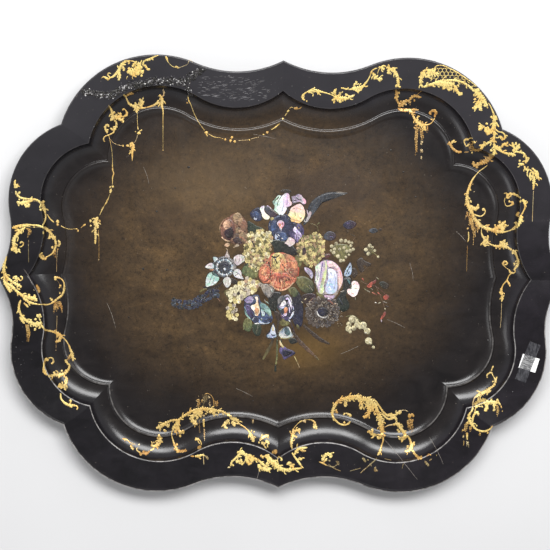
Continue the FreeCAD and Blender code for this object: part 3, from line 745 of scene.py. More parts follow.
    "gilt_near_right": """
302,-125.5,3 300,-129,2 299,-133,2.2; 299,-134,2.8 296,-136,2.5 293.5,-138,2.5 293,-140.5,3;
293,-141,2 294.5,-142.5,2; 299,-134,3 301,-138,1.4 303,-142,1.6 304.5,-145,4 304,-149,4.5;
306.5,-140,1.8 305,-144,3; 300,-146.5,3 302,-147.5,2; 304,-149,4 301,-153,3 297,-156,3.5
292,-160,5 287,-163,6 281,-166,5 277,-169,3; 298.5,-158.5,2 293,-162,3.5; p277,-168,2.5
274.5,-172,1.6 272.5,-177,1.6 270,-183,1.2 268,-190,1.6; 273,-180,4 278,-176.5,6 284,-173.5,7
289,-173,8 294,-174,7 299,-173,6 304,-173.5,5 305,-169.5,4; 287,-169.5,3 288,-173,4;
291,-171.5,3.5 290.5,-170,2.5; 297,-168.5,3 297,-172,3; 305,-168,3.5 307,-173,3 310,-177,2.5;
f310,-177,2 311.5,-181,1.5; f312,-184,1.8 312,-187,1.5; 289,-176,5 291,-181,5 289,-185,4
287,-184,2.2; 286,-180,2 283,-179,3.5; 278,-179,4 275,-181.5,3; 300,-175,4 301,-180,3 301,-184,3.5
299,-184,2; f304,-176,3.5 306,-181,2.8 306,-187,3 305.5,-194,1.5; 272,-181,3 270,-186,2.5
267,-190,3.5 266,-195,5 267.5,-200,5 270,-204,5 273,-208,4 277,-211.5,2.8 283,-213.5,2.8
289,-213.5,2.8 294,-211,2.5 298,-207,1.8; 271,-204,2.2 271.5,-197,3 273,-191,3.5 276,-187.5,4.5
279,-190,3.5 278.5,-192,2.2; 278,-186,2.5 279.5,-187.5,2; 276,-206.5,3.5 278,-205.5,2.5;
f283,-215,2 281,-218,2 282.5,-221,1.5; f293,-214,3 291.5,-217,2; f299,-205,2 297,-208,2.5;
f266,-202,2.5 263,-205,4.5 263,-210,5 264,-216,4; 264,-216,3 264.2,-221,3 264.5,-227,2.2;
p264.7,-228,2.5 265.2,-233,3.5 265.2,-237.5,2; f260,-211,3 258.5,-214,3.5 259,-218,2.5;
p259.5,-220,1.8 259,-225,2; f269,-206,2 268.5,-212,3 269.5,-218,2; f260,-228,1.3 259.5,-235,1;
222,-250,1.6 222.5,-249.8,1.6;
""",
    "gilt_near_right_scroll": """
79,-206,3 77,-200,3.2 76,-195,5 77,-190,5 79,-185,5.5 82,-180,5 87,-176,5.5 93,-174,6 99,-172,6
106,-170.5,4.5 113,-170,4 117,-169,2; 87,-174,2 88,-172,1.5; 96,-174,6 103,-173,6 111,-173,7
118,-174,9 125,-175,9 131,-178,9 135,-182,8 138,-187,6 140,-193,6 143,-199,8 145,-206,9 146,-213,8
147,-220,7 148,-226,5; 92,-177,5 95,-180,3.5 95.5,-184,3 92.5,-184.5,2.5; 99,-176,4 102,-177.5,2;
112,-174,5 116,-179,5 118,-184,4.5 116,-187.5,4.5 114,-186.5,3; 124,-178,8 127,-185,7 128,-192,6.5
126,-198,5.5 122,-200,5.5 119,-199,3; 131,-182,6 133,-189,5 131,-192,3; 138,-195,6 135,-197,2.5;
141,-199,5 138,-201.5,2; 144,-210,6 140.5,-210.5,4; 149,-202,2.5 149,-206,2; 76,-198,2 80,-204,2.6
85,-209,2.6 91,-211.5,2.6 97,-211,2.6 101,-208,4; 93,-210,3.5 93.5,-206.5,3.8; 102,-207.5,2.5
100,-206.5,2; 92.5,-195.5,3.5 93,-198,3.5; 92,-195,1.5 97,-195,1.5 100,-196.5,3 102.5,-198,4
99.5,-199.5,2.5; f80,-190,3 82,-193,4 84,-195,3; 133,-174,3 138,-178,2.2 142,-184,2.5 146,-190,3
150,-195,3.5 155,-198,4 160,-198,4.5 165,-197,4 169,-194,5 174,-192,5; 159,-194,3.5 160,-198,4;
171,-193,6 172,-196,3; 146,-195,2 151,-200,2.6 156,-203,3 161,-202,4 166,-201,4 167,-205,3;
p168,-192,2 173,-190.5,1.5 179,-190,1 183,-192,1.5; f184,-195,4.5 186,-198,6.5 190,-196,3
191,-200,3; f187,-202,6.5 187,-208,6.5 188,-214,4 187.5,-220,2.2 186,-226,1.5; f183,-204,3
184,-212,3 184.5,-218,1.5; f190.5,-203,3 189,-207,2.5; 147,-225,9 143,-229,8 140.5,-232,4;
150,-225,4.5 151,-228,3; 140,-225.5,6 135,-226,6 131,-222,6 128,-221,4 126,-222.5,3;
131,-218.5,4.5 134,-218,3.5; 135,-230,3 133,-229,2.5; 149,-228,3 148.5,-235,2.2 146.5,-241,2.5
145,-246,4.5 143,-250,4 140,-253,2; p150,-215,1.2 156,-212,1.8 162,-211,2.6; 162,-211,2.6
167,-210,5 172,-209,4; 168,-209,5 171,-213,5.5 174,-217,5 177,-221,5.5 180,-226,5 178,-230,6
173,-231,5 170,-231,3; 177,-214,3 174,-213,3.5; 168,-217.5,3 170.5,-220,3; 172,-221,3 169,-222,2;
175,-235,3 176,-231,5; 183,-228.5,4 180,-229,5; 183,-226,2.2 186,-231,2.8 188,-236,4 189,-241,7
187,-246,6 183,-248,5 179,-248.5,3.5; 193,-235,3 191,-240,5; 185,-241,3 182,-242,2; 190,-246,4
193,-251,3.5 197,-254,3.5 201,-254.5,3 202,-252,1.6; 197,-257,2 196,-254,2.5; 19.5,-243,2
18.5,-238,4 19,-232,5 20.5,-226,5.5 21.5,-221,5 21,-217,2.5; 22,-221,5 26,-220,4.5 29.5,-218.5,4
30,-222,2.5; 22,-228,4 25,-227,3 26,-229.5,2.5; 22,-217,1.5 25,-213,1.2 30,-208,1.5 34,-206,3;
p34,-206,3.5 37,-206.5,4.5 38.5,-209,2.5; 38,-205,1.3 43,-204.5,1.3 48,-205.5,1.9 51,-208,3.2
52,-211,4 53,-215,5 54,-218,3; 49,-210.5,2.8 51,-211,3; 49.5,-216,3.5 52,-215,4; 19,-247,2.2
21,-250,2.2 23,-253,2.8 27,-258,3.2 30,-262,3.2 33,-266,2.5 35.5,-268,1.2; 22.5,-250,3 25,-245,4.2
29,-241.5,4 34,-240.5,4 38,-240,3 41,-239.5,1; f32,-242.5,5 35,-245.5,4 33,-247,2.5;
f37,-243.5,3.5 38.5,-245,2; 27,-257,3.5 30,-255,4 33,-257,3.5;
""",
    "gilt_near_middle": """
p-71,-267.5,2 -67,-267,2.5; -66.5,-266,2.5 -66,-262,2.8 -64.5,-259,3 -61,-256,3 -57,-252,4
-53,-248.5,4.5 -48,-249,5 -43,-252,7 -38,-255,7 -33,-256,5.5 -28,-257.5,4 -24,-261,4 -19,-265,4
-14,-269,3.5 -9,-269.5,3.5; -58,-247.5,3 -54,-246,4.5 -50,-245.5,4.5 -47,-247,2; -65,-262,1.6
-62,-265.5,2.8; -60,-258,4 -56.5,-260,4.5 -55,-257,2.5; -53,-255,3 -51.5,-260,4.5 -50,-264.5,3.5;
-55,-261.5,2.5 -52,-262,2.5; -45,-253,6 -43.5,-259,6 -39.5,-262.5,4.5 -37,-260,2.5; -40,-257,6
-35,-258.5,4; -42,-250,4 -36,-252,3; -29,-265,3.5 -26,-267,5.5 -22,-269,7 -17,-270.5,6 -13,-271,4
-10,-270,2.5; -29,-263.5,2 -24,-265,3.5; -17,-273,2 -14,-272,3; -17,-250,2 -14,-253,4.5
-11,-257,6.5 -8,-261,9 -3,-265,9.5 2,-269,7.5 8,-271,6 14,-271,5 20,-270,4.5 27,-269,3.2
33,-268,2; -1,-274,1.2 0,-271,4; 17,-273.5,3.5 14,-271.5,4; -13,-266,4 -16,-262,4.5
-17,-263.5,2.5; -11,-258,6 -16,-258.5,3.5; -14,-251.5,4 -13,-249.5,3; -17,-250,2.2 -18,-253,3
-15,-255,2.5; f-9,-248.5,2.5 -5,-247.5,4.5 -1,-247,4; f-5,-250,3 -1,-249,2.5; 0,-262,1.6
-1,-258,1.4 0,-254.5,1.4 3,-254.5,2 5,-257,2.8 3,-258.5,2.2; 11.5,-263.5,3 16,-262,5.5 19,-265,5.5
22,-268,4; 14,-260.5,2 16,-259.5,2.2; -25.5,-251,4.5 -22.5,-252.5,4 -21,-255.5,2.5; 61,-258,3.5
63,-254,5 66,-250,5.5 69,-248,4.5 73,-249,4 74.5,-252,4 71,-252.5,2.8; f66,-256,4.5 63,-260,2.5
60,-260,2.2; 68,-254,4 66,-258,3; f57,-259,1.8 62,-261,2.5 68,-264,2; d70,-257,3.5 73,-258,3;
d68,-264,1.5 75,-266,1.8 80,-266,1.5; d82,-257.5,4 84,-262,4 80,-265,3; d139,-255,1.2 133,-260,1.6
127,-265,1.6 121,-270,1.6 115,-275,1.6; d118,-254,3 121,-257,4 123,-260,3; d137,-266.5,3
136,-271,4 140,-272,3; d125,-256,2 127,-258,2; d150,-257,1 160,-259,1; d206,-258,3 209,-262,4
212,-265,3; f215,-250,2 212,-249,1.4 208,-252,1.2; d212,-257.5,2 216,-255,1.5; d70,-262,1.2
78,-268,1.4 88,-272,1.2; d100,-272,1 108,-270,1.2 116,-268,1.2; d129,-262,2.5 131,-266,2;
d176,-262,1.2 174,-270,1; p-36,-204,2 -35,-211,2.5; d-34,-209,3 -37,-208,3;
""",
    "gilt_near_left_scroll": """
-149,-221,2 -147,-216,4 -143,-211,4.5 -139,-205,4 -134,-201,4 -128,-197,4.5 -121,-193,5
-113,-191,6 -105,-190,6.5 -97,-190.5,5.5 -89,-192,5 -81,-193,3.8 -75,-195.5,3.8 -69,-199,3.8
-65,-202,5; -120,-196,7 -113,-196,10 -106,-195,9; -98,-194,5 -92,-194,5; -118,-198,8 -122,-203,6.5
-120,-208,6.5 -116,-211,6 -114,-213.5,3.5; -125.5,-203.5,3 -123,-204,4; -113,-200,4.5 -115,-205,3;
-110,-199,5 -108.5,-202.5,2.2; -92,-194,4.5 -90,-199,3.8 -91.5,-200,2; -103,-196,4 -101,-198,2.5;
-84,-194,3 -84,-197,1.5; p-105,-197,3 -104.5,-203,3.5; -105,-204,3 -105,-210,3 -104.5,-216,2.2;
p-104,-217,1.4 -104,-224,1.3 -104,-232,1.3 -105,-240,1.5; p-105,-248,1.3 -104.5,-256,1.3
-104,-264,1.2; d-111,-205,1 -111,-216,1.4 -110.5,-228,1.3; -68,-203,6.5 -62,-204,6 -58,-206,5.5
-56,-209,4; -69,-205,5.5 -73,-209,6 -76,-212,5 -74,-216,4.5 -71,-216,3; -66,-208,7 -62,-211,6
-62,-214.5,4; -57,-209,3.5 -53,-212,2.2 -48,-215,2 -43,-219,2.2 -40,-222,3; -41,-221,3 -38,-226,6
-36,-230,6.5 -34,-234,4; -38.5,-222,2 -37,-218.5,2; -35,-223,3 -33,-220.5,2; -40,-227,3
-42,-225,1.5; -26,-233,5.5 -23,-230,5.5 -19,-228,5.5 -15,-227,5 -13.5,-229.5,3; -24,-235,4.5
-20,-237,4.5 -17,-236,3; -18,-233,4.5 -14,-236,5 -12,-238,3; -26,-236,3 -28,-234,1.5; -139,-207,4
-141,-212,4.5 -143,-219,5.5 -146,-224,3; -141,-214,4.5 -140,-220,4.5 -137,-224,6.5 -134,-222,4.5
-133.5,-226,3; -138,-227,4.5 -138,-231,2.5; -149,-221,2.5 -150,-226,1.6 -149,-232,1.9
-147,-238,2.6 -145,-243,4.2 -142,-248,5 -140,-251,5; -144,-241.5,4 -141,-240,3.5; f-142,-249,5
-136,-249,3.6 -131,-248,3.6 -128,-248,1.5; f-131,-246.5,3 -129.5,-247,2; f-123,-253,1.2
-118,-253,3; -117,-253,3.2 -112,-252.5,4.6 -107,-251,2.6 -103,-251.5,2.2; d-103,-251.5,2
-100,-254,3.8 -98,-257,3; -117,-234,3.8 -114.5,-232,5 -111,-233,2.2 -108.5,-236,1.6 -108,-239,2;
f-108,-240,2 -110,-241.5,4.5 -113.5,-243,3; p-113,-171.5,1.8 -113,-173,1.8; f-113,-175,2
-112.5,-178,4 -112,-183,4.2 -112,-188,3; p-115.5,-177,1.5 -115,-180,1.5; p-115,-185,1.6
-114.5,-187,1.5; d-104,-169,2.2 -103,-174,5.5 -104,-180,6.5 -103,-186,3.5; f-107,-176,2
-107.5,-181,2; p-98,-171,1.5 -97,-176,2.5; p-97,-178,1.8 -97,-182,1.8 -96.5,-188,1.4;
f-104,-168.5,1.3 -100,-167.5,1.3 -95,-170,1.3 -92,-175,1.3 -91,-182,1.3 -91,-188,1.1;
f-88,-177.5,2.5 -87,-182,4.8 -87,-187.5,3; -139,-206.5,3.2 -145,-206,3.2 -151,-207,3.2 -157,-210,5
-162,-213,6.5 -167,-216,6 -170,-217,4.6 -171,-219,3; -169.5,-214,4.2 -167,-215,4; -158,-213,4.5
-155,-215,4 -153,-213,3; -161.5,-219.5,3 -159,-222,3.8 -157,-221,2; -148,-208,3.2 -147,-209.5,1.6;
-149.5,-219,3.6 -147,-221,3; p-166,-219,1.8 -167,-224,2; -167.5,-226,2.4 -168,-232,5.5 -166,-235,7
-168,-239,7.5 -172,-243,6 -177,-243,4 -179,-241,2.6; -164.5,-239,3.2 -163,-236,3; -163.5,-231,3
-165,-234,3; -174,-239,3 -176,-237.5,2.5; -174,-246,2.6 -180,-249,2.6; f-180,-249,2.6
-184,-252,3.8 -189,-251,5 -193,-253,3.2 -194,-250.5,2.6; f-184,-254,2.6 -187,-253,2.6; -193,-251,2
-197,-249,1.6 -199,-246,1.6 -196,-244.8,1.3; -203,-247,3.6 -206,-243,3.6 -207,-240,2.6;
p-202,-241,5 -205,-239,4.2 -203,-237,3; p-197,-241,3.5 -194.5,-241,4; -207,-239,1.6 -211,-235,1.6
-215,-233,2.6 -219,-232,2.6; p-216,-234,2 -214.5,-236,2;
""",
    "gilt_left_scrolls": """
-361,132,3 -362,128,3 -361,123,5 -358.5,121,4.5; -358,126.5,3.5 -360,122,4.5; -361,117,2.2
-360,113,3.6 -357,109,3.6 -353,107,3 -348,106,2.6 -342,105.5,2.6 -336,105,2.6 -331,103,2.6
-328,100,3.2 -326,96,5 -324.5,91,4 -323,85,2.2 -322.5,79,2 -324,73,2 -326,69,2.2; -355.5,116,3.5
-357,112.5,3.5; -325,103,4 -326,99,3.5; -329.5,90,3 -326.5,92,3; -360,102,4 -354,100,6
-348,101,6.5 -343,103,5 -338,103.5,2.6; -357,104,3.5 -356,106,2; -350,98,4.5 -345,95.5,5
-344,98.5,3.5; -366,66,5.5 -361,68,4.6 -354,70,2.8 -347,71,2.2 -339,70,2.2 -333,69.5,2.8
-328,68,2.8 -324,66,3.2 -320,62,4.2 -316,57,3.6 -312,51,3.2 -310.5,46,3.2 -310,40,3.2 -312,34,2.6
-315,29,2.2 -320,25.5,1.6 -324,24,1.6; -357,67,2 -350,69,2 -342,68.5,2; -338,67.5,2.5 -336,67,1.8;
-350,66,4.5 -356,62,5.5 -361,56,5.5 -364,50,5.5 -364,44,6 -363,38,8 -361,33,5 -361,31,3; -355,61,4
-353.5,58,2; -360,49.5,4 -358.5,49,3; -368,35.5,3.5 -365,38,5.5; -358,38,4.5 -357,34,2.6;
-357,40,1.6 -353,41.5,1.6 -351.5,45,1.8 -354,47.5,2.2 -356,45,2.4; -349,68,2.2 -351,64,3.2;
f-346,66,3 -343,63,4.5 -343.5,58,4 -344,52,2.2; d-344.5,50,1.2 -345,42,1 -345,30,1 -345,18,1;
p-345,5.5,1.4 -345,4.5,1.4; -325,61.5,1.6 -325,57,1.6; -318,60,2.8 -322,62,3; -319.5,49.5,3.6
-317,52.5,4.5 -314,52,4 -313,48,3; -311,53.5,2.6 -311,50,3; -307,47.5,3 -305,43,3.6 -307,38,4.2;
-313,38,5.5 -316,37,4.2; f-311,34,3.2 -312,28,2.2 -312,22,1.1; f-307,36,2 -308,33,1.4; -322,24,2.2
-325,21.5,4.2 -328.5,24,3.6 -330,28,3 -327,31.5,2.2; p-308,33,1 -309,20,.7 -309.5,3,.7;
-374,27.5,1.6 -376,21,3 -378,14,5.2 -378,7,4.8 -376,1,4.4 -372,-4,4.2 -367,-8,4.2 -362,-11,4.8
-357,-14,5.2 -355,-16,3.2; -366.5,-4,4.5 -363,-1,4.5 -361.5,-6,5.5; -362,-8,4.5 -360,-6,3;
-359,-3,1.6 -357,-6,1.6 -354,-5,1.6 -354.5,-1.5,1.9 -357,-1,2.2; -377,4,3.5 -378,-2,3.8
-377,-9,4.4 -374,-14,5.2 -371,-19,4.8 -370,-23,2; -374,-10,3.2 -368,-14,5.2 -363,-19,4.4
-358,-24,4.4 -352,-28,5.5 -345,-30,6.5 -338,-32,6.5 -334,-35,4.8; -346,-25,3.5 -344,-28,4.5;
-338.5,-26,3.2 -336,-30,4.5; -353,-30,3.2 -347,-35,3.8 -340,-38,3.2 -333,-39.5,2.2; -333,-39.5,2
-328,-40,1.6 -323,-41.5,2.2 -318,-41,2.2 -313,-38,2.8 -308,-34,3.2 -303,-30,3.2 -300,-24,3.2
-299,-17,2.6 -300,-11,1.9 -303,-7,1.9 -307,-5,2.6 -311,-5,4.4 -311,-9,3.8; f-336,-13,2
-333,-19,3.8 -331.5,-24,2.6; -306,-16,4.4 -303,-16,3; -305,-19.5,3 -306,-18,3; -306,-26,3.6
-304,-27,3; -316.5,-34,3 -315,-37,4.4; -319,-33.5,1.5 -316.5,-33.5,2.5; p-338.6,-20,1.8
-338.2,-19.4,1.8; f-311,-38,4.4 -311,-45,5.4 -312,-52,3.8 -312,-57,1.5; f-306,-38,4.4 -305,-43,3.4
-303,-50,2.6 -303.5,-56,1.5; f-309,-43,4 -309,-50,3; p-309,-58,.8 -310,-80,.7 -311,-104,.7;
p-311,-106.5,1.3 -311,-107.3,1.3; -356,-33,2.2 -358,-39,3.2 -358.5,-46,3.8 -356,-53,3.8
-352,-59,4.4 -347,-63,4.8 -341,-66,6.4 -335,-68,8.4 -330,-66,6.4 -327,-66,3.6; -352,-37,2.2
-348,-41,2.8 -346,-43.5,1.5; -357.5,-56,3.2 -354,-62,3.8 -351,-66,2.2; -337,-62,5.5 -336,-58.5,4;
-335.5,-56,5.5 -331,-55,5 -329,-58,3.2; -329.5,-60.5,2.4 -331,-62,3; -343.5,-60,3.4 -342,-63,4;
-336,-73,4.6 -338.5,-76,3; -332,-71,5 -330,-73,3; -329,-68,3.2 -326,-73,2.6 -324,-76,1.5;
f-348,-67,4.6 -347,-74,5 -346,-80,3.8 -348,-88,2.6 -348,-96,1.2; -325,-76,1.6 -321,-78,2.8
-316,-80,3.2 -311,-82,4.8 -307,-85,6.4 -304,-88,5.4 -301,-90,2.2; -306,-88,5.4 -306,-93,4.6
-310,-95,3.4 -312,-94,2.4; -301,-89,1.6 -297,-94,1.9 -293,-101,2.4 -291,-107,3.8 -289,-112,4.8
-288,-118,4.4 -287.5,-123,1.5; f-291,-113,4 -293,-119,5.4 -294,-124,4.4; -293,-126,3 -293,-131,3.4
-295,-136,3.8 -298,-139,5 -302,-141,6.4 -307,-141,6.4 -312,-140.5,5.4 -317,-141,4 -320,-139,3;
-299,-120.5,3.6 -296,-125,3.4 -293.5,-128.5,2.5; -304,-135,3.5 -302,-137,4; -314,-136,3.4
-312,-139,4.4; -307.5,-145.5,3 -305,-142,3.4; -298,-144,4.4 -296,-148,3.6 -297,-153,3.8
-300,-157,6.4 -304,-155,5.4 -306,-152,2.6; -307.5,-155,3 -304,-156,3; -299,-159,3.4
-296.5,-162,1.5; -321,-139,2.2 -325,-135,4.2 -326,-131,4.2 -326,-126,1.9 -325.5,-121,2.6
-323,-118,4.8 -321,-121,2.2; -321,-117,1.6 -317,-117,2.2 -314.5,-120,2.2 -315,-124,3.2
-317.5,-125,2.6; -303,-164,1.8 -302.5,-171,2.6 -299,-176,3.2 -295,-179,3.8 -290,-181,4.2
-285,-181,3.2 -281,-182,2.2 -279.5,-184,2.2 -281,-187,2.6; -291,-173.5,4.2 -288,-176,3.8;
-291,-181,3.4 -287,-184,2.2;
""",
}


def gold_leaf():
    """Bronze-gold leaf under old varnish, browner in the cove as painted shade, hatched with wear,
    and flecked with painted highlights.
    """
    m = Nodes("gold_leaf")
    tint = m.attribute("tint", "Color")
    tone = m.smooth(m.noise(38, 4, 0.6, seed=(9, 3, 0)), 0.36, 0.66)
    tint = m.darken(1.0, tint, m.ramp(tone, (0.0, (1.0, 1.0, 1.05)), (0.6, (1.0, 0.93, 0.85)),
                                      (1.0, (0.95, 0.76, 0.60))))
    # painted shade: the gilding in the cove, below the flange, made darker and browner
    cove_shade = m.smooth(m.split()[2], 0.0215, 0.0232, 1.0, 0.0)
    tint = m.mix(m.times(cove_shade, 0.8), tint, m.darken(1.0, tint, (0.86, 0.78, 0.78)))
    worn = m.smooth(m.noise(430, 5, 0.70, seed=(2, 5, 0), stretch=(1.0, 0.7, 1)), 0.52, 0.60)
    colour = m.mix(m.times(worn, 0.72), tint, m.darken(1.0, tint, (0.20, 0.14, 0.11)))
    # painted highlights: small bright flecks of reflected light on the gold
    painted_glint = m.smooth(m.noise(900, 2, 0.5), 0.58, 0.72)
    colour = m.mix(m.times(painted_glint, 0.45), colour, (1.0, 0.90, 0.58))
    m.bump(m.noise(700, 4, 0.6), 0.25, 0.0002)
    return m.done(Base_Color=colour, Metallic=0.30, Roughness=m.add(0.34, m.times(worn, 0.3)))


GOLD = {"": (0.76, 0.60, 0.20), "p": (0.66, 0.54, 0.27), "f": (0.56, 0.36, 0.10),
        "d": (0.22, 0.17, 0.07)}
gold = gold_leaf()


def fine(w):
    """The brush's own width: threads are drawn finer than their beads and leaves."""
    return w * (0.60 if w < 1.4 else 0.84 if w < 2.6 else 1.0)


def honeycomb(relief, corners, cell):
    """A net of gilt hexagons filling an outline."""
    left, near = 196, 258
    dx, dy = cell * math.sqrt(3), cell * 1.5
    for row in range(-1, 40):
        for col in range(-1, 40):
            cx, cy = left + col * dx + (row % 2) * dx / 2, near + row * dy
            for k in range(3):
                a0, a1 = math.radians(60 * k + 30), math.radians(60 * k + 90)
                ends = [(cx + cell * math.cos(a), cy + cell * math.sin(a)) for a in (a0, a1)]
                if all(inside(x, y, corners) for x, y in ends):
                    relief.stroke([(*e, 0.85) for e in ends], GOLD[""], 0.1, 1.2)


NET = [(200, 271), (204, 288), (208, 292), (216, 292), (224, 288.5), (233, 284.5), (243, 278),
       (253, 271.5), (262, 265), (264, 261), (257, 262), (249, 269), (238, 273), (226, 274),
       (214, 274)]


def spray(relief, pts, tint, wide):
    """A hanging tassel: fine broken threads of gilding side by side."""
    line, along = spline(pts, 0.5)
    last = len(line) - 1
    threads = 2 + int(wide)
    for k in range(threads):
        off = wide * 0.55 * (2 * (k + 0.5) / threads - 1) + relief.rng.uniform(-0.2, 0.2)
        at, end = relief.rng.uniform(0, 2), along[-1] * relief.rng.uniform(0.45, 1.0)
        while at < end - 0.8:
            long = relief.rng.uniform(0.8, 3.2)
            a, b = (min(int(v / along[-1] * last), last) for v in (at, min(at + long, end)))
            if b > a:
                w = relief.rng.uniform(0.55, 1.05)
                relief.stroke([(line[a][0] + off, line[a][1], w),
                               (line[b][0] + off * 0.8, line[b][1], w * 0.8)], tint, 0.1, 1.2)
            at += long + relief.rng.uniform(0.3, 0.9)


def leaflets(relief, pts, tint, broad):
    """Small curled lobes springing from both sides of a broad scroll."""
    line, along = spline(pts, 0.5)
    d = np.gradient(line[:, :2], axis=0)
    at, side = relief.rng.uniform(2, 5), relief.rng.choice((-1, 1))
    while at < along[-1] - 1.5:
        k = int(np.searchsorted(along, at))
        (x, y, w), (tx, ty) = line[k], d[k] / max(np.hypot(*d[k]), 1e-9)
        if w > broad:
            long, side = relief.rng.uniform(2.4, 4.4), -side
            nx, ny = -ty * side, tx * side
            mid, tip = w * 0.4 + long * 0.5, w * 0.4 + long * 0.75
            curl = [(x + nx * w * 0.3, y + ny * w * 0.3, 1.1),
                    (x + nx * mid + tx * long * 0.5, y + ny * mid + ty * long * 0.5, 1.5),
                    (x + nx * tip + tx * long * 1.05, y + ny * tip + ty * long * 1.05, 1.0)]
            if all(inside(u, v, BOARD) for u, v, _ in curl):
                relief.stroke(curl, tint, 0.14, 0.8)
        at += relief.rng.uniform(4.6, 8.5)


BOARD = [tuple(p) for p in ring(3.2, 12)]  # just inside the rounded edge
MEDIUM, BROAD, BROADEST = 2, 3.7, 4  # widths in mm at which a stroke gains lobes, leaflets, a vein

for order, (name, text) in enumerate(GILT.items()):
    relief = Relief(100 + order)
    for kind, pts in strokes(text):
        wide = max(p[2] for p in pts)
        drop = abs(pts[-1][0] - pts[0][0]) < 0.3 * abs(pts[-1][1] - pts[0][1])
        if kind and drop and wide > 1.3:
            spray(relief, pts, GOLD[kind], wide)
            continue
        relief.stroke([(x, y, fine(w)) for x, y, w in pts], GOLD[kind],
                      step=0.55 if wide > MEDIUM else 0.9,
                      leafy=relief.rng.uniform(0.95, 1.35) if wide > MEDIUM else 0.0)
        broad = BROAD - 1 if name in ("gilt_far_right", "gilt_far_middle") else BROAD
        if wide > broad and not kind:
            leaflets(relief, pts, GOLD[kind], broad)
        vein = [(x, y, 0.45) for x, y, w in pts[1:-1] if w > 3]
        if wide > BROADEST and len(vein) > 1:  # a darker vein down each broad leaf
            relief.stroke(vein, GOLD["d"], 0.24)
    if name == "gilt_far_right":
        honeycomb(relief, NET, 3.1)
        relief.stroke([(x, y, 1.2) for x, y in NET[:9]], GOLD[""])
    relief.make(name, gold, "gilding")


# ---------------------------------------------------------------- painted posy
PIGMENTS = {k: ink(*v) for k, v in {
    "black": (20, 18, 20), "soot": (38, 36, 38), "navy": (37, 39, 64), "ink": (52, 59, 84),
    "blue": (64, 86, 128), "sky": (120, 142, 168), "teal": (80, 116, 120),
    "mint": (150, 184, 170), "violet": (96, 82, 132), "lilac": (174, 158, 192),
    "plum": (56, 38, 48), "wine": (98, 50, 48), "red": (178, 74, 50), "coral": (196, 108, 74),
    "orange": (208, 142, 92), "peach": (212, 168, 134), "yellow": (208, 190, 112),
    "cream": (198, 188, 148), "white": (232, 230, 226), "grey": (124, 120, 118),
    "stone": (160, 148, 132), "tan": (152, 126, 92), "russet": (128, 84, 64),
    "brown": (100, 76, 58), "umber": (56, 45, 38), "moss": (112, 110, 66), "green": (78, 94, 62),
    "leaf": (54, 66, 50), "bottle": (36, 44, 38), "olive": (98, 90, 52), "straw": (178, 162, 102),
    "slate": (64, 70, 80), "grey_brown": (84, 74, 68),
}.items()}

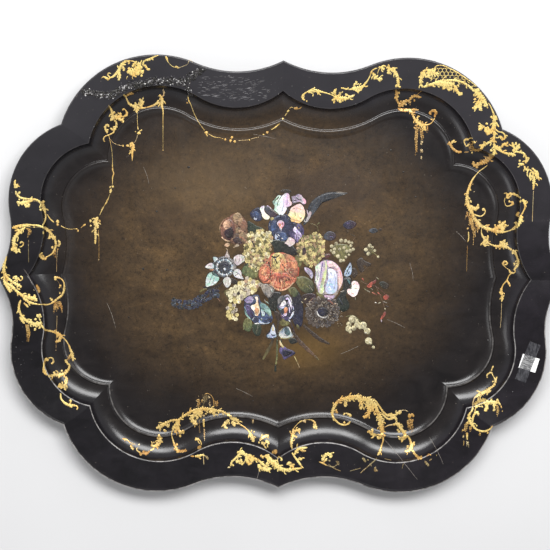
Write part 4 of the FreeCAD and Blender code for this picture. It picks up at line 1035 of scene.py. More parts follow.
# p: petal or leaf, from colour to colour, outline x,y in mm; s: stroke, x,y,width; L: layer
POSY = {
    "paint_leaves": """
L 0; p slate black 31,72 36,86 38,97 44,106 52,112 62,116.5 72,118 84,117.5 93,116 80,114.5 70,112
62,108 54,102 48,95 44,87 38,79 34,72; p bottle leaf -46,76 -40,74 -34,70 -26,67 -22,63 -28,60
-36,58 -42,58 -46,64; p bottle soot -14,50 -10,40 -8,32 2,33 12,30 22,29 24,34 18,42 10,48 0,50; p
green moss -54,6 -49,15 -42,18 -36,12 -31,4 -33,-3 -40,-5 -46,-2 -51,1; p moss bottle 22,-2 30,0
36,-1 44,-6 48,-14 47,-22 40,-25 32,-22 26,-16 22,-9; p soot bottle 88,-2 98,0 100,-10 95,-20
92,-28 97,-38 96,-46 88,-50 81,-44 78,-34 84,-24 88,-14; p soot navy 16,-20 26,-22 31,-34 33,-48
31,-70 22,-70 17,-56 19,-40; p soot bottle -17,-24 -6,-22 2,-24 -2,-34 -4,-44 -6,-51 -14,-46
-16,-34; p umber umber 106,22 112,27 118,22 127,18 122,14 115,16 117,8 112,6 108,14; p umber umber
98,10 104,12 108,4 102,-2; p moss green -49,-62 -42,-59 -38,-68 -41,-78 -47,-78 -51,-72; p leaf
bottle -37,-68 -29,-66 -25,-76 -28,-85 -34,-84 -38,-76; p bottle soot 13,-88 21,-88 26,-93 20,-96
15,-95; p olive moss 0,-61 8,-60 14,-67 8,-71 1,-69; p bottle umber 138,-8 146,-7 152,-12 149,-17
143,-16; p moss olive 50,-23 60,-26 66,-30 58,-31; p moss leaf 12,-18 20,-16 26,-24 20,-30 14,-25;
p umber soot -70,-3 -62,-6 -57,-11 -64,-12 -69,-9; p soot umber -108,-16 -98,-17 -86,-13 -80,-9
-86,-18 -98,-21; p umber soot -2,118 6,121 14,118 10,115 2,116; p olive moss 20,26 27,30 30,20
26,12; p umber umber -8,-50 0,-52 4,-62 -2,-64 -6,-58; p umber plum 30,-28 40,-24 50,-26 48,-36
38,-40 31,-36; L 1; s soot slate 33,76,2 40,94,2.5 50,107,2 62,113,1.5 76,116.5,1; s stone grey
76,117.3,.7 84,117,.9 92,116,.6; s olive moss -51,4,.8 -44,6,.8 -36,2,.6; s bottle soot -50,14,2
-43,17,2 -36,11,1.6; p moss moss -38,14 -33,11 -32,5 -36,4 -39,8; s olive moss 24,-6,1 32,-10,1
42,-18,.7; p moss olive 24,-4 30,-3 34,-9 32,-16 27,-14; s stone stone 46,-21,.5 40,-12,.5; s leaf
leaf 30,-20,.8 38,-18,.7 45,-13,.6; s slate slate 82,-30,1.4 88,-40,1.4; s teal teal 94,-4,2
98,-11,2.4; s tan cream 34,-34,1.4 37,-31,1; s tan russet 40,-37,1.4 44,-33,1.2 47,-30,1; s cream
tan 30,-36,1 33,-38,1.2; s wine russet 66,-33,2 71,-36,2.4 75,-40,1.6; s peach tan 76,-38,1.4
79,-39,1; s grey stone 84,-22,1.2 90,-20,1.2; s olive leaf 14,-22,.9 20,-23,.9; s moss moss
-45,-64,.8 -45,-74,.8; s moss moss -48,-72,1 -51,-77,1; s grey moss -30,-68,.6 -32,-82,.6;
""",
    "paint_stems": """
L 0; s umber olive -8,-88,3 -12,-98,4 -17,-108,4.2 -23,-119,2.4; s leaf moss -3,-90,2.2
-3,-112,2.4 -4.5,-126,2.2; s bottle bottle -5,-126,2.4 -5,-136,3; s umber brown 19,-80,3.5
29,-93,5.4 40,-104,5 49,-112,3.6; s brown olive 49,-112,3.4 56,-119,1.8; s umber umber 33,-69,3
44,-79,4.6 55,-88,5.4 64,-93,4 71,-96,1.8; s straw tan 21,-113,1.1 25,-121,1.1 29,-130,1.2; s
umber plum 15,-62,2.6 18,-72,2.6 21,-82,2.4; s umber umber -1,-62,3 -3,-74,3 -3,-90,2.4; s umber
bottle 1.5,-89,2.4 3,-94,2.6; s moss umber 24,-68,3 28,-76,3; s moss leaf 92,-57,.9 102,-55,.9
112,-62,.9 121,-73,.9 126,-84,.7 131,-98,.7; s brown wine 112,-6,.8 122,-11,.8 134,-14,.8
146,-24,.7 152,-33,.6; s brown brown 134,-14,.7 144,-36,.7 147,-47,.7; s brown umber 108,0,.7
116,8,.7 122,14,.8; s umber umber 60,62,1 56,54,1; s olive moss 78,30,.9 84,40,.9 94,44,.8; s
olive moss 84,40,.9 92,34,.9 98,30,.8; s olive moss 84,40,.8 76,44,.8; s moss moss 122,38,.8
130,33,.7 136,28,.6; s umber umber 104,56,.7 96,60,.7; s brown brown 100,50,.5 104,56,.5; s olive
olive 40,74,.8 50,70,.8 52,62,.8; s moss moss 50,72,1.4 54,75,1.4; s umber russet -91,-30,1
-86,-33,1 -83,-37,.8; s olive olive -112,-24,2 -106,-20,2.6 -101,-19,2;
""",
    "paint_rose_brown": """
L 0; p russet brown -84,66 -80,76 -74,80 -66,86 -58,87 -52,81 -47,74 -46,62 -47,52 -50,44 -60,42
-68,45 -76,49 -82,56; L 1; p tan brown -66,84 -60,88 -55,85 -53,78 -57,71 -63,72 -66,78; p tan
russet -58,82 -53,80 -52,72 -57,68 -60,74; p russet brown -54,77 -49,77 -46,69 -49,60 -54,62
-57,68; p tan brown -56,64 -50,61 -46,54 -49,45 -55,48 -58,56; p brown plum -66,56 -60,59 -54,54
-52,47 -58,44 -64,47; p russet plum -83,66 -78,76 -71,80 -65,74 -64,63 -66,53 -72,49 -79,51
-83,58; L 2; p peach russet -80,71 -77,76 -72,77 -68,72 -71,65 -77,64; p plum black -78,61 -74,66
-69,68 -66,62 -67,55 -72,52 -77,55; p plum umber -66,52 -60,54 -55,50 -58,46 -64,46; p tan brown
-62,66 -57,67 -54,62 -57,58 -62,60; L 3; s tan russet -84,60,1.4 -84,69,1.6 -79,77,1.5 -72,81,1.2;
s peach tan -82,54,1.4 -77,49.5,2 -70,47.5,1.6; s tan tan -67,80,1 -61,83,1.2 -55,81,.9; s peach
tan -65,75,.9 -59,77,1 -54,74,.8; s tan russet -61,69,.9 -55,71,1 -49,68,.8; s peach russet
-59,62,.9 -53,62,1 -48,58,.8; s coral russet -57,54,.9 -52,52,1 -49,48,.8; s tan brown -76,70,.8
-73,73,.8 -70,70,.7; s russet plum -80,64,.8 -76,67,.8 -71,67,.8; s tan plum -69,50,1 -64,53,1.2
-60,57,1; s brown plum -62,44,1.4 -56,46,1.2; p peach tan -78,42 -74,45.5 -70,43 -74,39.5; p tan
stone -64,42 -60,44 -57,42 -60,40; s stone tan -72,29,1.4 -74,36,1.4 -76,38,1; s tan stone
-66,39,1 -60,41,1;
""",
    "paint_blue_flowers": """
L 0; p ink navy -17,64 -16,76 -7,84 4,87 13,82 18,72 14,58 8,48 0,45 -8,50 -12,58; p navy ink
-43,86 -37,93 -30,95 -28,87 -26,80 -30,76 -37,77; p slate plum -23,97 -15,95 -7,89 -7,82 -14,79
-19,86 -22,91; p navy violet 12,66 16,75 25,75 31,68 32,58 27,48 20,46 14,53 11,60; p slate plum
60,58 66,63 73,62 77,57 74,51 66,50 60,53; p navy plum 86,72 91,77 98,78.5 105,74 102,69 96,66
90,67; p plum wine 57,26 62,31 68,32 70,28.5 64,25 60,23.5; p slate soot 122,64 126,67.5 132,67.5
135,63.5 128,60.5; p umber umber 135,66 138,68 141,66 138,64; L 1; p blue ink -14,66 -12,75 -6,77
-6,68 -10,62; p ink navy 4,84 12,80 16,72 8,72 5,77; p ink blue -8,60 -2,62 6,60 10,52 2,49 -5,52;
p navy blue -41,85 -36,90 -31,88 -32,81 -37,80; p violet navy 22,73 29,69 30,61 24,64; p lilac
violet 20,60 26,60 28,52 23,47 20,52; s navy black -1,86,1.6 0,80,1.2; s navy black 7,86,3
10,79,2.4 13,74,2; s sky stone -16,73,1.1 -15,69,1; s sky ink -11,80,1 -6,82,1 0,83,.8; s white
sky -38,81,1.6 -35,79,1.4; s grey stone -12,92,1.6 -7,88,1.6 -4,86,1; s lilac stone -20,98,1.4
-15,95,1.2 -12,90,1; p olive straw -16,80 -13,82 -9,80.5 -13,77; s lilac grey -25,97,1.2 -27,93,1;
s soot plum 66,60,1 70,56,1; s violet slate 68,56,1.4 74,54,1.4; s slate slate 62,57,1.2
64,53,1.2; s violet navy 91,74,1.2 97,75,1.2; s navy black 94,70,1.6 100,71,1.4; s grey stone
61,29,.7 66,30.5,.8 69,29.5,.7; L 3; s orange coral -3,74,1.4 -1,70,2 0,73,1.6; s coral wine
1.5,75,1.4 3,71,1.4; s white sky -1,68,1.2 0,64,1.6; s sky white -7,57,1.2 -4,54,1.3; s white sky
-4,58,1 -1,55,1; s white grey 1,53,1.4 4,51.5,1.2; s navy black -5.5,52.5,2 -2.5,51.5,1.6; s slate
sky 4,56,1 7,53,1; s white white 19.5,67,2.4 21,64.5,2; s straw tan 24,69,1.2 26,66,1.2; s soot
olive 21,73,1.6 22,70,1.6; s plum violet 23,62,.8 25,56,.8 24,50,.8; s violet plum 19,58,1
17,55,1; s lilac white 24,58,1 26,54,1;
""",
    "paint_peony": """
L 0; p coral red -30,4 -27,14 -20,20 -15,27 -10,32 -2,33.5 6,32 14,28 22,24 26,13 25.5,0 20,-8
12,-17 2,-21.5 -8,-19 -14,-11 -22,-11 -28,-5; L 1; p coral red -29,4 -26,14 -19,18 -16,11 -15,0
-19,-8 -25,-7; p yellow orange -12,27 -6,32 2,31 8,22 10,9 2,4 -8,5 -13,11; p coral russet 9,28
16,27 23,20 25,8 22,-2 15,0 10,10 8,20; p tan coral 4,31 12,30 18,26 14,22 8,24; p red coral -14,2
-6,4 4,5 14,3 23,-4 17,-12 6,-18 -4,-19 -12,-12; L 2; p orange coral -27,4 -24,12 -19,14 -18,6
-22,0; p yellow straw -11,19 -6,22 -1,20 0,12 -6,9 -11,12; p orange coral 2,24 7,18 9,8 3,7 0,14;
p coral orange 16,24 22,19 23,10 17,12 14,18; p red wine -12,-1 -4,0 6,0 14,-3 8,-8 -2,-8 -10,-6;
p coral orange -10,-12 -4,-16 6,-16 14,-11 6,-11 -2,-12; s orange peach -13,-13,1.8 -5,-18.5,2.2
4,-20,2.2 12,-16,1.8 19,-9,1.4; s coral orange -29,0,1.4 -28,9,1.6 -22,16,1.4; s wine red -21,-9,1
-16,-4,1; L 3; s soot black -17,21,1.5 -15,14,1.5 -13.5,8,1.4; s black wine -13.5,8,1.3 -14,0,1.2
-17,-6,1 -22,-9,.9; s soot black 2,17,1.4 5,13,1.4 8,10,1.2; s black soot -13,28,1.2 -8,25.5,2.2
-4,27,1.8 -1,30,1.1; s black black -8,28,1.8 -6.5,22,1.8 -4,16.5,1.6; s soot black -11.5,25,1.2
-10.5,18,1 -9.5,12,1; s soot soot -1.5,27,1 1.5,23,.9; s soot soot -2,22,1 1,20,.8; s black olive
4,31,.9 5,28,.7; L 4; s white white -7.4,24.6,1.9 -6.4,24.2,1.9; s yellow cream -3,24,1.1
0,17,1.1; s cream yellow -9,31,1.2 -5,30,1.4; s yellow cream 2,30,1.2 5,26,1.2; s yellow orange
-7,13,1.2 -5,7,1.1; s peach orange -24,10,.8 -21,3,.8 -20,-4,.7; s orange peach -12,3.5,1.2
-4,5,1.2 3,5.5,1;
""",
    "paint_bindweed": """
L 0; p ink blue -50,-42 -48,-34 -40,-28 -30,-27 -27,-36 -21,-41 -14,-50 -10,-58 -12,-66 -22,-69
-32,-68.5 -38,-64 -44,-57 -49,-50; L 1; p teal mint -28,-38 -20,-40 -13,-48 -12,-57 -19,-53
-26,-46; p violet navy -48,-42 -42,-42 -38,-50 -36,-60 -42,-60 -47,-52; p blue navy -25,-57
-13,-57 -12,-65 -20,-67 -28,-62; p sky teal -49,-44 -47,-47 -44,-56 -39,-62 -43,-60 -48,-53; p
navy ink -37,-60 -31,-58 -28,-64 -34,-67; L 2; s teal mint -48.5,-46,1.6 -47,-54,2 -41,-61,1.6; s
white sky -35,-68,1.5 -28,-67,1.3 -20,-67.8,1.6 -13,-66,1.2; s blue sky -16,-60,1.2 -20,-62,1.2; s
ink navy -23,-50,1 -16,-54,1; s teal sky -24,-41,1.2 -18,-46,1.2; s sky white -38,-63,1.2
-36,-58,1.2; L 3; p orange tan -34.5,-46 -30,-45.5 -28.5,-50 -30.5,-55 -34,-54.5; s straw cream
-33.5,-46,1.2 -34,-40,1; s peach orange -32,-53,1.4 -30,-57,1.2; s slate violet -47,-36,1
-42,-34,1 -38,-35,.8; s navy slate -45,-39,1 -41,-38,.9; s black soot -33,-58.5,1.2 -31,-60,1.2; s
navy ink -37,-52,.8 -34,-48,.7; s grey sky -24,-50,.8 -22,-54,.8; s leaf mint -27,-61,1.4
-25,-64,1.2; s white mint -26,-60,1 -24,-62,1; s white white -33,-36,.9 -32,-31,.8; s soot umber
-51,-35,1 -46,-30,.9 -40,-27.5,.9;
""",
    "paint_anemone": """
L 0; p slate navy -4,-44 -1,-35 4,-29 10,-26 15,-29 19,-39 20.5,-50 18,-59 12,-65 6,-62 2,-54; p
grey slate -4,-34 0,-29 5,-28 2,-36 -2,-40; L 1; p violet navy 2,-52 6,-56 14,-58 12,-64 6,-61; p
white lilac 2,-37 7,-34 9,-39 4,-44 -1,-44; p navy black 8,-34 11,-33 12,-36 9,-37; s lilac white
6,-29,1.2 11,-27,1.3 15,-32,1.3 17,-40,1.4; s lilac sky 18,-42,1.4 19.5,-48,1.2; s white lilac
20,-50,1.3 16,-56,1.5 12,-61,1.4; s sky white 12,-61,1.4 15,-65,1.4; s wine violet 1,-55,1.4
5,-60,1.4; L 3; p orange coral 6.5,-45 10,-44 11,-48.5 8.5,-53 6,-50; s peach orange 6,-51,1.2
8,-55,1.2; s white white 1,-43,1.8 4,-40,2; s white lilac 4,-37,1.6 8,-39,1.6; s teal mint
-1,-46,1.6 3,-48,1.6; s navy black 5,-43,1 9,-41,.9; s navy navy 12,-38,1.4 15,-46,1.6 15,-54,1.4;
s lilac white 11,-36,1 13,-44,1; s plum wine 10,-54,1 11,-50,1; s white lilac 3,-55,1 6,-58,1;
""",
    "paint_bells": """
L 0; p slate ink -19,-84 -14,-79 -9,-67 -5,-76 -4,-84 -6,-88 -12,-89.5 -17,-88; p cream stone
-2,-82 1,-77 6,-73 13,-72 17,-79 20,-86 13,-89 4,-89; p violet navy 1,-102 6,-99.5 12,-103 20,-106
22.5,-110 14,-115 7,-118.5 4,-112 .5,-108; L 1; p navy black 5,-104 10,-105 18,-108 12,-113 7,-114
4,-109; p slate teal 7,-73 12.5,-73 14.5,-83 8,-82; p violet ink 2,-104 5,-102 7,-106 3,-110; s
cream straw .5,-91,1.8 3,-97,2.2 6,-101.5,3; s tan peach 0,-93,1 2,-99,1; L 3; s navy ink
-12,-83,1.6 -8,-84,1.6 -5,-83,1.2; s sky white -17,-87,1.3 -13,-86,1.3; s white sky -10,-87,1.4
-7,-87,1.3; s soot navy -18.5,-83,.9 -14,-78,.9 -10,-70,.8; s navy soot -5.5,-74,.9 -4.5,-82,.9; s
cream straw -9.5,-72,2 -9,-78,2.2; s straw moss 1,-87.5,1.2 8,-88.5,1.4 15,-87,1.2; s slate grey
3,-80,.8 5,-75,.8; s white stone 14,-74,1.2 17,-82,1.3; s grey slate 6,-83,.9 10,-84.5,.9
14,-83,.8; s soot umber 17,-72,1 21,-84,1; s umber umber -1.5,-84,.8 0,-78,.8; p stone grey
-28,-10 -22,-12 -14,-12 -7,-19 -9,-25 -14,-31 -20,-28 -25,-20; s white grey -24,-13,1.3
-20,-16,1.3; s white mint -13,-18,1.3 -10,-23,1.3; s white white -10,-22,1.4 -8,-24,1.2; s slate
grey -20,-18,.9 -16,-24,.9; s slate slate -18,-13,.8 -14,-17,.8; s sky grey -21,-22,1.2
-17,-28,1.2; s mint grey -19,-36,1.2 -15,-40,1; s grey stone -22,-33,1 -19,-38,1;
""",
    "paint_rose_pearl": """
L 0; p lilac stone 50,15 58,21 66,23 76,19 83,12 87,0 87,-10 83,-19 77,-30 67,-32.5 58,-26 52,-20
48.5,-8 49,8; p slate grey -97,11 -90,22 -78,27 -66,22 -61,11 -66,2 -76,-3 -88,0; L 3; s grey
lilac 66,9,.9 65.5,0,1 64,-8,.9 61.5,-15,.8; s violet lilac 59,19,1.4 57.5,10,1.6 56,0,1.2
55,-8,.8; s straw mint 60,-2,2.6 58.5,-10,3 57,-17,1.8; s lilac violet 62,20,.8 60.5,12,.8; s
lilac white 64.5,20,1 65.5,14,1; s white sky 71,8,2 70.5,3,1.6; s sky stone 70,-4,.5 68,-16,.5; s
sky stone 76,4,.5 77,-8,.6 75,-19,.5; s lilac peach 79.5,8,1 81,-2,1 82,-14,.9; s coral peach
83,8,.8 85,-2,.8 84,-12,.7; s plum coral 68,12.6,.8 74,11,.8 78.5,8,.8; s plum wine 61.5,-25.7,1
68,-25.5,1.1 75,-25.5,1; s soot moss 49.5,-6,1 50.5,-16,1 54,-24,1; s lilac plum 52,12,.8 53,3,.8
52,-6,.7; s grey mint 51,8,1 51.5,-2,1; s white peach 70,19,.9 76,15,.9 81,9,.8; s wine plum
66,-29,.8 71,-30,.8; s soot umber 58.5,22,1 63,24,1; s soot slate 91,1,.8 94,8,.9 97,16,.8; s
black slate 92,7,1 94,10,1; s black slate 94.5,3,1.2 96.5,8,1.1; s slate black 96,12,.9 98,15,.8;
s white sky 91,4,.8 92.5,9,.8; s wine peach 101,-12,.8 105,-9,.8; s peach wine 103,-16,.7
108,-17,.7; s coral peach 99,-23,.8 104,-25,.8; s green teal 99,-14,1.6 99,-18,1.4; s wine umber
98,-12,.9 97.5,-17,.9; s stone green 105,-29,.9 105.5,-34,.9; s slate lilac 36,11,.7 40,8,.7
43.5,3,.7; s plum slate 38,6,.7 43,0,.7; s grey slate -100,14,.7 -95,13,.7; s russet orange
-99,8,1.6 -95,7.5,1.8 -92,8,1.4; s grey slate -99,-12,.7 -96,-4,.7 -93,2,.7; s grey stone
-94,-11,.7 -91,-3,.7; p leaf teal -95,5 -90,3 -86,-2 -90,-1 -94,1; s stone grey -76,-14,.6
-75,-6,.6; s stone grey -72,-13,.6 -72,-5,.6; s slate grey -62,5,.7 -57,2,.7 -54,-2,.6; s wine
slate -63,-1,1 -58,3,.8; s moss grey -63,19,1.2 -62,24,1.2; s grey plum -58,18,.7 -56,25,.7; s
stone plum -53,20,.7 -52,25,.7; s slate green 1,112,.8 -4,104,.9 -5,97,.9; s green mint -6,108,2
-10,102,2 -8,98,1.6; s leaf green -3,111,1.8 -6,106,1.6; s lilac sky 4,108,.8 3,98,.9 1,90,.8; s
lilac plum 9,108,.8 8,99,.8; s slate plum 20,110,1 24,107,1.2 29,106,1; s plum slate 17,106,1.2
22,104,1.2; s orange straw 26,80,1.8 30,82,1.6; s straw cream 20,84,1 19,91,1; s tan orange
13,80,.8 20,78,.8 27,77,.8; s tan peach 15,93,.7 22,95,.7 29,92,.7; s lilac stone 37,90,.8
37.5,82,.8; s soot slate 8,97,1.6 9.5,91,1.8 9,86,1.6; s soot umber 14,98.6,1 21,101.3,1;
""",
    "paint_fruit": """
L 0; p olive moss 70,34 74,44 84,46 94,44 98,36 92,30 88,22 80,24; p umber olive 116,34 120,42
127,42 130,34 123,30; L 4; s moss moss -64,-44,.8 -68,-52,.8 -66,-60,.7; s moss moss -62,-30,.8
-70,-34,.7; L 1; p red wine 121,-14 125,-9 130,-6 134,-4 133,-9 127,-12 124,-16; p red wine
144,-29 148,-25 153,-28 148,-33; p red wine 141,-61 143,-55 147,-49 149,-51 146,-57; p coral red
123,-13 127,-11 128,-14 124,-16; s stone white 132,-36,1.3 135,-37,1.3; s stone cream 137,-38,1.6
141,-36,1.3; s stone grey 144,-35,1.2 150,-37,1; s moss stone 117,-17,1.2 122,-20,1.2 126,-22,1; s
moss grey 126,-16,1 130,-19,1; s stone moss 134,-1,1.2 138,-4,1.2; s cream stone 147,-44,1.4
147.5,-47,1.4; s stone lilac 142,-60,1.2 143,-64,1.2; s red wine 114,-2,1.4 117,-6,1.4; s red
brown 136,-22,1.4 142,-27,1; s umber umber 147,-41,2 153,-43,2; s coral wine 128,-22,1.6
136,-26,1.2;
""",
}


def pigment_paint():
    """Old oil paint under varnish: brush marks, dark veining and thin, rubbed places."""
    m = Nodes("oil_paint")
    aged = m.tree.nodes.new("ShaderNodeHueSaturation")
    aged.inputs["Saturation"].default_value = 0.92
    aged.inputs["Value"].default_value = 0.92
    m.link(m.attribute("tint", "Color"), aged.inputs["Color"])
    brush = m.noise(330, 5, 0.66, stretch=(1, 0.6, 1), seed=(4, 1, 0), distort=0.6)
    streaks = m.ramp(brush, (0.32, (0.30, 0.28, 0.27)), (0.46, (0.80, 0.80, 0.80)),
                     (0.56, (1.08, 1.07, 1.05)), (0.70, (1.55, 1.50, 1.42)))
    colour = m.darken(1.0, aged.outputs[0], streaks)
    speck = m.smooth(m.noise(760, 3, 0.6, seed=(6, 2, 0)), 0.61, 0.70)
    colour = m.mix(m.times(speck, 0.40), colour, (0.50, 0.46, 0.38))
    rubbed = m.smooth(m.noise(560, 4, 0.72, seed=(8, 8, 0)), 0.53, 0.62)
    colour = m.mix(m.times(rubbed, 0.62), colour, (0.034, 0.025, 0.018))
    m.bump(brush, 0.45, 0.0003)
    return m.done(Base_Color=colour, Roughness=m.add(0.28, m.times(brush, 0.25)))


def lay(paint, text):
    """Put down every touch of a flower in turn."""
    for part in text.split(";"):
        words = part.split()
        if not words:
            continue
        if words[0] == "L":
            paint.level = int(words[1])
            continue
        one, two = PIGMENTS[words[1]], PIGMENTS[words[2]]
        pts = [tuple(float(v) for v in w.split(",")) for w in words[3:]]
        if words[0] == "p":
            paint.patch(pts, one, two)
        else:
            paint.line(pts, one, two)


def tone(*names):
    return [PIGMENTS[n] for n in names]


def round_spots(paint, text, tint):
    for word in text.split():
        paint.berry(*(float(v) for v in word.split(",")), tint)


def dahlia(paint, x, y):
    """Three rings of petals, each petal tipped with a pale bent line."""
    for count, near, far, wide, light in ((24, 14, 26, 6.5, "grey_brown"),
                                          (20, 9, 19, 5.5, "umber"),
                                          (15, 6, 13, 4.5, "grey_brown")):
        for k in range(count):
            a = 6.283 * (k + paint.rng.uniform(-0.25, 0.25)) / count
            ux, uy = math.cos(a), math.sin(a)
            reach = far * paint.rng.uniform(0.9, 1.06)
            paint.petal(x + near * ux, y + near * uy * 0.85, a, reach - near, wide,
                        PIGMENTS["umber"], PIGMENTS[light])
            tip = (x + reach * ux, y + (near + (reach - near) * 0.98) * uy * 0.9)
            side = (-uy * wide * 0.4, ux * wide * 0.4)
            mid = (x + (near + reach) / 2 * ux, y + (near + reach) / 2 * uy * 0.88)
            edge = paint.pick("stone", "grey", "grey_brown", "slate")
            paint.level += 1
            paint.line([(mid[0] + side[0], mid[1] + side[1], 0.5), (*tip, 0.6),
                        (mid[0] - side[0], mid[1] - side[1], 0.5)], edge)
            paint.level -= 1
        paint.level += 1


def peony_heart(paint):
    """Fine veins running out from the heart of the flower."""
    paint.level = 3
    for _ in range(58):
        a = paint.rng.uniform(0, 6.283)
        r0, r1 = paint.rng.uniform(5, 12), paint.rng.uniform(15, 22)
        pts = [(-2 + r * math.cos(a + b) * 1.15, 3 + r * math.sin(a + b), 0.55)
               for r, b in ((r0, 0), ((r0 + r1) / 2, 0.08), (r1, 0.02))]
        paint.line(pts, paint.pick("wine", "red", "orange", "peach", "russet"))


def berries(paint):
    """Pale currants above, larger ones below with loose threads on them."""
    paint.level = 2
    round_spots(paint, """
71,42,2.6 77,46,2.4 84,50,2.8 90,49.5,2.6 95,48,2.4 97.5,43,2.2 101,38,2.4 97,36,2.8 92,35,2.6
88,40,2.2 82,38,2.2 75,38,2.4 74,33,2.6 80,28,2.8 84,22,2.6 88,22,2 95,30,1.8 91,27,2
118.5,37.5,2.8 122,32,2.8 124,43.5,2.8 127.5,41,2 131,36.5,2 136,28,1.8 99,47,1.8 70,36,1.8
""", ink(178, 168, 132))
    round_spots(paint, """
102,-60.5,5.6 97,-67.5,3.6 96.5,-74,4.4 104,-73,3.8 109,-68,4.6 117,-69,5.2 123,-77,4.6
125,-91,5 132,-100,2.2 107,-63,3.6 113,-72,2.8 120,-74,2.4 128,-94,2.2 99,-78,2.4
""", ink(192, 182, 142))
    paint.level = 3
    for x, y in ((102, -61), (98, -70), (105, -72), (110, -68), (117, -69), (123, -78), (125, -91)):
        for _ in range(5):
            a = paint.rng.uniform(0, 6.28)
            paint.line([(x + 1.2 * math.cos(a), y + 1.2 * math.sin(a), 0.6),
                        (x + 3.8 * math.cos(a + 0.3), y + 3.8 * math.sin(a + 0.3), 0.8)],
                       paint.pick("stone", "olive", "white", "straw"))


def posy():
    """The flowers whose every touch is written out above."""
    for order, (name, text) in enumerate(POSY.items()):
        paint = Paint(300 + order)
        lay(paint, text)
        if name == "paint_peony":
            peony_heart(paint)
        if name == "paint_fruit":
            berries(paint)
        paint.make(name, OIL, "flower_paint")


def hydrangeas():
    """Two round heads of small florets."""
    paint = Paint(401)
    left = [(-50, 40), (-46, 52), (-44, 60), (-34, 62), (-28, 67), (-22, 60), (-13, 60), (-12, 48),
            (-14, 36), (-17, 27), (-24, 16), (-33, 8), (-40, 9), (-47, 20), (-51, 30)]
    right = [(24, 44), (28, 54), (36, 57), (44, 58), (48, 62), (54, 58), (60, 50), (62, 42),
             (60, 30), (56, 22), (50, 16), (42, 14), (34, 16), (28, 24), (24, 34)]
    paint.patch(left, *tone("olive", "moss"))
    paint.patch(right, *tone("olive", "russet"))
    paint.level = 1
    paint.cluster(120, left, 2.5, 4, tone("straw", "cream", "tan", "olive", "straw"),
                  PIGMENTS["olive"])
    paint.cluster(110, right, 2.4, 4, tone("straw", "moss", "straw", "olive", "tan"),
                  PIGMENTS["olive"])
    lay(paint, """
L 2; s soot umber -40,49,1.4 -37,43,2 -35,39,1.4; s olive umber -28,40,1 -24,34,1; s umber olive
-44,34,1 -42,28,1; s olive olive -20,56,1 -17,50,1; p plum umber 31,39 34.5,40 35.5,33 32,29 30,33;
s olive umber 44,44,1 48,38,1; s brown russet 40,24,1.2 46,20,1.2; s brown brown 52,26,1.2
56,32,1.2; s straw cream -36,14,1.6 -32,12,1.6
""")
    paint.make("paint_hydrangeas", OIL, "flower_paint")


def florets():
    """Loose pale florets left of and below the peony."""
    paint = Paint(402)
    lay(paint, """
L 0; p olive tan -78,-24 -70,-18 -60,-12 -48,-6 -34,-6 -30,-14 -34,-24 -46,-28 -56,-38 -66,-38;
p olive brown -75,-48 -68,-42 -62,-48 -60,-60 -67,-62
""")
    paint.level = 1
    paint.cluster(40, [(-76, -24), (-68, -19), (-58, -12), (-46, -4), (-36, -6), (-27, -12),
                       (-34, -22), (-46, -27), (-54, -34), (-56, -40), (-70, -34)], 3.1, 5,
                  tone("cream", "straw", "stone", "cream"), PIGMENTS["olive"])
    paint.cluster(14, [(-76, -48), (-72, -41), (-62, -42), (-60, -52), (-58, -62), (-68, -63),
                       (-73, -56)], 2.9, 5, tone("cream", "stone", "straw"), PIGMENTS["olive"])
    lay(paint, """
L 2; p peach tan -50,-8 -47,-5 -44,-8 -47,-11; p peach tan -34,-14 -31,-12 -29,-15 -32,-18;
p white tan -59,-37 -57,-35 -55,-37 -57,-39.5; p soot umber -60,-24 -57,-22 -55,-26 -59,-28;
s soot umber -76,-47,2 -73,-49,2; s umber umber -52,-17,1.2 -49,-20,1.2
""")
    paint.make("paint_florets", OIL, "flower_paint")


def dark_dahlia():
    paint = Paint(403)
    dahlia(paint, 60, -51)
    paint.patch(oval(60, -50, 8, 6.2, 8), *tone("soot", "navy"))
    paint.level += 1
    lay(paint, """
s white grey 52,-49,.8 53.5,-54,1.6 59,-58,1.9 65,-57.5,1.2 68,-54,.7; s plum soot 55,-47,1.2
60,-46,1.2; s soot navy 57,-52,1.4 63,-51,1.4
""")
    for k in range(46):  # by turns a beaded stamen, and a dot of the lacy flower at its right
        a, r = paint.rng.uniform(-1.5, 1.8), paint.rng.uniform(10, 15)
        if k % 2:
            x, y = 60 + r * math.cos(a), -51 + r * math.sin(a)
        else:
            x, y = 83 + paint.rng.gauss(0, 2.6), -58 + paint.rng.gauss(0, 7)
        paint.line([(x, y, 1.1), (x + 0.9, y + 0.4, 1.1)],
                   paint.pick("stone", "grey", "tan", "olive"))
    paint.make("paint_dahlia", OIL, "flower_paint")


def hyacinth():
    """A dark spike of small bells, with a few sky-lit touches."""
    paint = Paint(404)
    spike, _ = spline([(-149, -37, 5), (-140, -41, 8), (-128, -42, 9), (-116, -39, 10),
                       (-105, -31, 10), (-95, -26, 9), (-87, -26, 6)], 1)
    for k in range(150):
        x, y, w = spike[paint.rng.randrange(len(spike))]
        a = paint.rng.uniform(0, 6.28)
        paint.level = k // 50
        paint.petal(x + 0.3 * w * math.cos(a), y + 0.3 * w * math.sin(a), a, 4.6, 3.8,
                    paint.pick("soot", "navy", "slate", "bottle"),
                    paint.pick("slate", "ink", "navy", "soot"))
    paint.level = 3
    for _ in range(16):
        x, y, _ = spike[paint.rng.randrange(len(spike))]
        x, y = x + paint.rng.uniform(-2, 2), y + paint.rng.uniform(-2.5, 2.5)
        paint.line([(x, y, 0.8), (x + 1.2, y + 0.6, 0.8)], paint.pick("sky", "grey", "slate"))
    paint.make("paint_hyacinth", OIL, "flower_paint")


